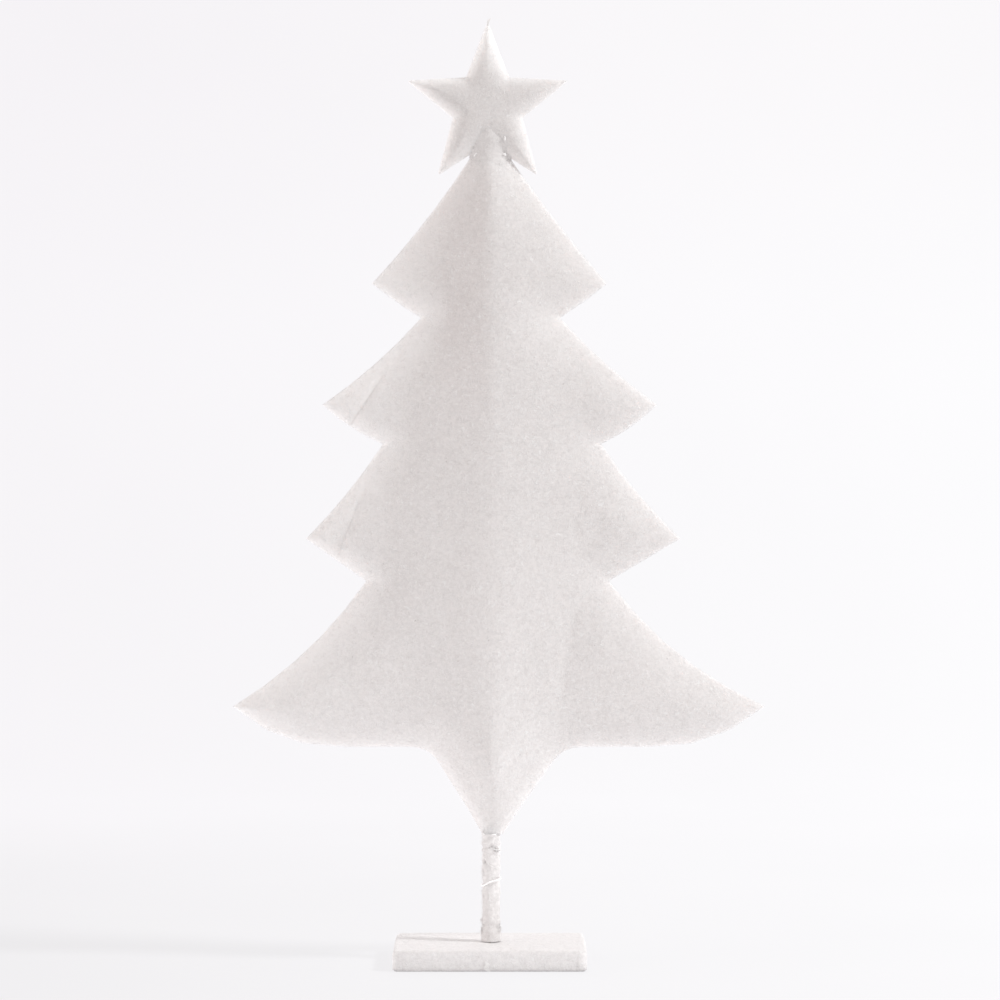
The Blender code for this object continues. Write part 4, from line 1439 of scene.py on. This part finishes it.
class PADDEDTREE_OT_base(Operator):
    """Makes the fleece cover of the base, folded under the board, and the felt beneath"""

    bl_idname = "padded_tree.base"
    bl_label = "Covered base"
    bl_options = {"REGISTER", "UNDO"}

    def execute(self, context):
        shape = context.scene.tree_base
        size = BASE_HIGH - BASE_LOW
        deselect()
        bpy.ops.mesh.primitive_cube_add(size=1, location=(BASE_HIGH + BASE_LOW) / 2)
        cover = named("base_fleece", size)
        self.bevel_edges(cover, lambda e: abs(e.verts[0].co.z - e.verts[1].co.z) > 0.005, EDGE_ROUND[0], 5)
        self.bevel_edges(cover, lambda e: all(v.co.z > BASE_HIGH.z - 1e-5 for v in e.verts), EDGE_ROUND[1], 5)
        self.bevel_edges(cover, lambda e: all(v.co.z < 1e-5 for v in e.verts), EDGE_ROUND[2], 2)
        net = cover.modifiers.new("even_net", "REMESH")
        net.mode = "VOXEL"
        net.voxel_size = shape.grain
        apply_modifiers(cover)
        self.rough(cover, shape)
        self.open_underside(cover, shape)
        thicken(cover, FLEECE, -1)
        # Painted light: the base's fleece is a little lighter than the tree's
        finish_piece(cover, fleece_material("base_fleece", shade=1.03, spread=0.2, pits=0.45),
                     ("base_cover",))
        add_fuzz("base", cover, 1700, seed=41, wanted=self.by_sides, share=0.7, stand=0.55)
        self.felt()
        return {"FINISHED"}

    def by_sides(self, middle, normal):
        """Fibres on the front and back sides, and fewer on top."""
        upright = (normal[:, 2] > -0.4) * (middle[:, 2] > 0.0012) * (np.abs(middle[:, 1]) > 0.0385)
        return upright * 2.0 + (middle[:, 2] > 0.0125) * 0.4

    def bevel_edges(self, obj, wanted, reach, steps):
        edit_picked(obj, "EDGE", wanted)
        bpy.ops.mesh.bevel(offset=reach, segments=steps, profile=0.5, affect="EDGES")
        bpy.ops.object.mode_set(mode="OBJECT")

    def rough(self, cover, shape):
        """Soft bumps, a cushioned top and the folded corners of the ends."""
        points, normals = points_of(cover.data), normals_of(cover.data)
        bumps = soft_noise(points, 300, 4) + 0.7 * soft_noise(points, 700, 5)
        wide = soft_noise(points, 45, 6)
        above = points[:, 2] > 0.0016
        swell = (shape.roughness * bumps + 0.00025 * wide) * np.where(above, 1, 0.15)
        # Where the cloth is folded in like a parcel, a slanted line runs up from each lower corner of the ends
        end = np.abs(normals[:, 0]) > 0.7
        slant = np.abs(points[:, 1]) - (BASE_HIGH.y - 0.003 - points[:, 2] * 0.8)
        swell -= np.where(end, 0.0007 * hump(slant, 0.0008), 0)
        front = np.abs(normals[:, 1]) > 0.7
        upright = np.abs(np.abs(points[:, 0]) - (BASE_HIGH.x - 0.0065))
        swell -= np.where(front & (points[:, 2] < 0.010), 0.0005 * hump(upright, 0.0006), 0)
        points = points + normals * swell[:, None]
        points[:, 2] = np.clip(points[:, 2], 0.0, None)
        set_points(cover.data, points)

    def open_underside(self, cover, shape):
        """Cuts the window that the fold leaves, and the dowel's hole."""
        half_x, half_y = BASE_HIGH.x - shape.fold_width, BASE_HIGH.y - shape.fold_width

        def cut(face):
            x, y, z = face.calc_center_median()
            by_dowel = math.hypot(x, y) < DOWEL_RADIUS + CLEARANCE and z > 0.008
            return by_dowel or (abs(x) < half_x and abs(y) < half_y and z < 0.004)

        edit_picked(cover, "FACE", cut)
        bpy.ops.mesh.delete(type="FACE")
        bpy.ops.object.mode_set(mode="OBJECT")

    def felt(self):
        """The felt sheet in the fold's opening."""
        size = PAD_HIGH - PAD_LOW
        deselect()
        bpy.ops.mesh.primitive_grid_add(
            x_subdivisions=60, y_subdivisions=36, size=1, location=(0, 0, (PAD_LOW.z + PAD_HIGH.z) / 2),
        )
        pad = named("base_felt", (size.x, size.y, 1))
        points = points_of(pad.data)
        inner = Vector((PAD_HIGH.x - FELT_CORNER, PAD_HIGH.y - FELT_CORNER))
        for point in points:
            past = Vector((abs(point[0]) - inner.x, abs(point[1]) - inner.y))
            if past.x > 0 and past.y > 0 and past.length > FELT_CORNER:
                near = inner + past.normalized() * FELT_CORNER
                point[0] = math.copysign(near.x, point[0])
                point[1] = math.copysign(near.y, point[1])
        points[:, 2] += 0.00008 * soft_noise(points, 260, 7)
        set_points(pad.data, points)
        thicken(pad, size.z - 0.0003, 0)
        finish_piece(pad, fleece_material("base_felt", shade=0.93), ("base_pad",))


# ---------------------------------------------------------------- wood, fibres and thread


def wood_grain_group():
    """Straight fine grain along Z or X, with growth bands and pores."""
    made = bpy.data.node_groups.get("wood_grain")
    if made:
        return made
    group, nodes, given, out = new_group(
        "wood_grain", [("Vector", "Vector", None), ("Stretch", "Vector", (1.0, 1.0, 0.06))],
        ["Band", "Pores", "Height"],
    )
    drawn = nodes.add("VectorMath", {0: given["Vector"], 1: given["Stretch"]}, operation="MULTIPLY").outputs[0]
    bands = nodes.noise(drawn, 420.0, 3.0)
    pores = nodes.remap(nodes.noise(drawn, 2600.0, 1.0), 0.62, 0.72)
    nodes.feed(out, {"Band": bands, "Pores": pores, "Height": nodes.minus(bands, pores)})
    return group


def wood_material(name, light, dark, stretch):
    made, nodes, shader, place = principled(name)
    grain = nodes.add("Group", {}, node_tree=wood_grain_group())
    nodes.feed(grain, {"Vector": place, "Stretch": stretch})
    grain = grain.outputs
    colour = nodes.blend(nodes.remap(grain["Band"], 0.3, 0.7), dark, light)
    colour = nodes.blend(nodes.times(grain["Pores"], 0.5), colour, (0.30, 0.19, 0.10))
    nodes.feed(shader, {
        "Base Color": colour,
        "Roughness": nodes.remap(grain["Band"], 0.2, 0.8, 0.72, 0.55),
        "Normal": nodes.relief(grain["Height"], 0.0001, 0.5),
    })
    return made


class PADDEDTREE_OT_wood(Operator):
    """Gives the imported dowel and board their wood"""

    bl_idname = "padded_tree.wood"
    bl_label = "Dowel and board"
    bl_options = {"REGISTER", "UNDO"}

    def execute(self, context):
        beech = wood_material("dowel_beech", (0.74, 0.58, 0.40), (0.64, 0.47, 0.30), (1.0, 1.0, 0.05))
        pine = wood_material("board_pine", (0.78, 0.62, 0.42), (0.66, 0.47, 0.27), (0.05, 1.0, 1.0))
        for node, surface in (("dowel", beech), ("base_board", pine)):
            NODES[node].data.materials.clear()
            NODES[node].data.materials.append(surface)
        return {"FINISHED"}


def fibre_material(name):
    """Single fibres, a little lighter than the cloth they come from."""
    look = bpy.context.scene.tree_fleece
    made, nodes, shader, place = principled(name)
    tone = nodes.noise(place, 600.0, 1.0)
    nodes.feed(shader, {
        "Base Color": nodes.blend(nodes.remap(tone, 0.35, 0.65), tuple(look.colour), tuple(look.thread_colour)),
        "Roughness": nodes.remap(tone, 0.3, 0.7, 0.7, 0.9),
        "Specular IOR Level": 0.2,
        "Subsurface Weight": 0.3,
        "Subsurface Scale": 0.0005,
        "Subsurface Radius": SPREAD_RADIUS,
    })
    return made


def thread_material(name, colour=(0.99, 0.985, 0.98), glow=0.15):
    """Cotton thread, with fine lines round its twist. Its emission is painted light, which makes the thread look as
    bright as where it catches the light.
    """
    made, nodes, shader, place = principled(name)
    tone = nodes.noise(place, 2400.0, 2.0)
    nodes.feed(shader, {
        "Base Color": nodes.blend(nodes.remap(tone, 0.3, 0.7), [c * 0.82 for c in colour], colour),
        "Normal": nodes.relief(tone, 0.0001, 0.5),
        "Roughness": nodes.remap(tone, 0.3, 0.7, 0.6, 0.8),
        "Sheen Weight": 0.2,
        # Painted light: the thread's glow
        "Emission Color": (1.0, 0.99, 0.985, 1),
        "Emission Strength": glow,
    })
    return made


# ---------------------------------------------------------------- stage


# Where the floor turns up into the backdrop, how high it goes and the reach of the turn
BACKDROP = 1.0
BACKDROP_HEIGHT = 2.2
BACKDROP_TURN = 0.5
FLOOR_REACH = 60
# The key light: its turn to the front and its height over the floor in degrees, and how far off it stands
KEY_TURN = math.radians(16)
KEY_RISE = math.radians(36)
KEY_DISTANCE = 2.2
KEY_AIM = Vector((0.0, 0.0, 0.30))
CAMERA_PLACE = (0.0064, -1.978, 0.3126)
LENS = 111.6


def stage_paper(look):
    """Pale paper that glows a little, and more for the camera than for the object."""
    surface, nodes, shader, place = principled("stage_paper")
    tone = nodes.remap(nodes.noise(place, 3.0, 2.0), 0.3, 0.7)
    tone = nodes.blend(tone, (0.195, 0.192, 0.197), (0.205, 0.202, 0.207))
    # Outside the camera's first view it is darker, so the object stands out from other sides too
    parts = nodes.add("SeparateXYZ", {0: place}).outputs
    aside = nodes.ease(nodes.size(parts["X"]), 0.65, 1.3)
    outside = nodes.math("MAXIMUM", aside, nodes.ease(parts["Y"], -0.35, -1.0))
    tone = nodes.blend(outside, tone, (0.075, 0.074, 0.076))
    glow = nodes.blend(nodes.ease(parts["Y"], 0.0, 1.0), (0.92, 0.91, 0.925), (1.035, 1.02, 1.045))
    glow = nodes.blend(nodes.remap(parts["X"], -0.6, 0.6), glow, (1.07, 1.075, 1.085))
    high = nodes.blend(nodes.remap(parts["X"], -0.5, 0.3), (1.02, 1.0, 1.03), (1.04, 1.03, 1.045))
    glow = nodes.blend(nodes.ease(parts["Z"], 0.35, 0.85), glow, high)
    seen = nodes.add("LightPath").outputs["Is Camera Ray"]
    # Near the base the floor throws less light, so the base stands on a dark line
    beside = nodes.minus(nodes.size(parts["X"]), BASE_HIGH.x)
    before = nodes.minus(nodes.size(parts["Y"]), BASE_HIGH.y)
    thrown = nodes.ease(nodes.math("MAXIMUM", beside, before), 0.0, 0.0065, look.floor_light * 0.4, look.floor_light)
    shown = nodes.remap(outside, 0.0, 1.0, look.floor_glow, look.floor_glow * 0.82)
    nodes.feed(shader, {
        "Base Color": tone,
        "Roughness": 0.9,
        "Specular IOR Level": 0.0,
        "Emission Color": glow,
        "Emission Strength": nodes.choose(seen, thrown, shown),
    })
    # A camera behind the backdrop looks through it
    clear = nodes.add("BsdfTransparent")
    behind = nodes.add("NewGeometry").outputs["Backfacing"]
    either = nodes.add("MixShader", {0: behind, 1: shader.outputs[0], 2: clear.outputs[0]})
    nodes.feed(surface.node_tree.nodes["Material Output"], {"Surface": either.outputs[0]})
    return surface


class PADDEDTREE_OT_stage(Operator):
    """Makes the pale floor and backdrop, the soft lights and the camera"""

    bl_idname = "padded_tree.stage"
    bl_label = "Stage"
    bl_options = {"REGISTER", "UNDO"}

    def execute(self, context):
        context.scene.view_settings.view_transform = "Standard"
        context.scene.view_settings.look = "None"
        look = context.scene.tree_stage
        self.paper(stage_paper(look))
        self.room(context.scene, look)
        self.key(look)
        self.camera(context.scene)
        return {"FINISHED"}

    def paper(self, surface):
        deselect()
        bpy.ops.mesh.primitive_plane_add(size=1, location=(0, 0.55, 0))
        floor = named("floor_sweep", (4.0, 1.9, 1))
        edit_picked(floor, "EDGE", lambda e: all(v.co.y > BACKDROP for v in e.verts))
        bpy.ops.mesh.extrude_region_move(TRANSFORM_OT_translate={"value": (0, 0, BACKDROP_HEIGHT)})
        edit_picked(floor, "EDGE", lambda e: all(v.co.y > BACKDROP and abs(v.co.z) < 1e-5 for v in e.verts))
        bpy.ops.mesh.bevel(offset=BACKDROP_TURN, segments=16, affect="EDGES")
        bpy.ops.object.mode_set(mode="OBJECT")
        bpy.ops.object.shade_smooth()
        # Only the camera sees the floor's wide surroundings, when it looks from the side or from behind
        deselect()
        bpy.ops.mesh.primitive_plane_add(size=FLOOR_REACH, location=(0, 0, -0.001))
        ground = named("floor_wide", (1, 1, 1))
        for kind in ("diffuse", "glossy", "transmission", "volume_scatter", "shadow"):
            setattr(ground, f"visible_{kind}", False)
        for made in (floor, ground):
            made.data.materials.append(surface)

    def room(self, scene, look):
        world = bpy.data.worlds.new("studio_room")
        world.use_nodes = True
        scene.world = world
        nodes = Nodes(world.node_tree)
        way = nodes.add("SeparateXYZ", {0: nodes.add("TexCoord").outputs["Generated"]}).outputs
        glow = nodes.ease(way["Y"], -0.75, 0.25, look.front_light, look.back_light)
        overhead = nodes.ease(way["Z"], 0.15, 0.95, 0.0, look.top_light)
        from_left = nodes.ease(way["X"], -0.15, -0.85, 0.0, look.left_light)
        glow = nodes.plus(nodes.plus(glow, overhead), from_left)
        hue = nodes.blend(nodes.remap(way["X"], 0.0, -0.8), (1.0, 0.972, 0.965), (1.0, 0.945, 0.930))
        seen = nodes.add("LightPath").outputs["Is Camera Ray"]
        nodes.feed(world.node_tree.nodes["Background"], {
            "Color": hue, "Strength": nodes.choose(seen, glow, look.seen_room),
        })

    def key(self, look):
        key = bpy.data.lights.new("key_light", "AREA")
        key.shape = "DISK"
        key.size = 0.38
        key.energy = look.key_power
        key.color = (0.985, 0.993, 1.0)
        level = math.cos(KEY_RISE)
        towards = Vector((level * math.cos(KEY_TURN), -level * math.sin(KEY_TURN), math.sin(KEY_RISE)))
        lamp = new_object("key_light", key)
        lamp.location = KEY_AIM + towards * KEY_DISTANCE
        lamp.rotation_euler = towards.to_track_quat("Z", "Y").to_euler()

    def camera(self, scene):
        camera = bpy.data.cameras.new("camera")
        camera.sensor_width = 36
        camera.lens = LENS
        camera.shift_y = -0.028
        camera.clip_start, camera.clip_end = 0.05, 50
        scene.camera = new_object("camera", camera)
        scene.camera.location = CAMERA_PLACE
        scene.camera.rotation_euler = (math.pi / 2, 0, 0)


# ---------------------------------------------------------------- panel and registration


class PADDEDTREE_PT_pieces(Panel):
    """Lists the pieces of the padded tree and their settings"""

    bl_label = "Padded Tree"
    bl_idname = "PADDEDTREE_PT_pieces"
    bl_space_type = "VIEW_3D"
    bl_region_type = "UI"
    bl_category = "Padded Tree"

    def draw(self, context):
        for operator in OPERATORS:
            self.layout.operator(operator.bl_idname)
        for name, group in SETTINGS.items():
            box = self.layout.box()
            for label in group.__annotations__:
                box.prop(getattr(context.scene, name), label)


OPERATORS = (
    PADDEDTREE_OT_stage, PADDEDTREE_OT_tree, PADDEDTREE_OT_star, PADDEDTREE_OT_neck, PADDEDTREE_OT_stem,
    PADDEDTREE_OT_threads, PADDEDTREE_OT_base, PADDEDTREE_OT_wood,
)
CLASSES = (*SETTINGS.values(), *OPERATORS, PADDEDTREE_PT_pieces)


def register():
    for made in CLASSES:
        bpy.utils.register_class(made)
    for name, group in SETTINGS.items():
        setattr(bpy.types.Scene, name, PointerProperty(type=group))


def unregister():
    for name in SETTINGS:
        delattr(bpy.types.Scene, name)
    for made in reversed(CLASSES):
        bpy.utils.unregister_class(made)


def main():
    register()
    bpy.ops.padded_tree.stage()
    bpy.ops.padded_tree.tree()
    bpy.ops.padded_tree.star()
    bpy.ops.padded_tree.neck()
    bpy.ops.padded_tree.stem()
    bpy.ops.padded_tree.threads()
    bpy.ops.padded_tree.base()
    bpy.ops.padded_tree.wood()


if __name__ == "__main__":
    main()
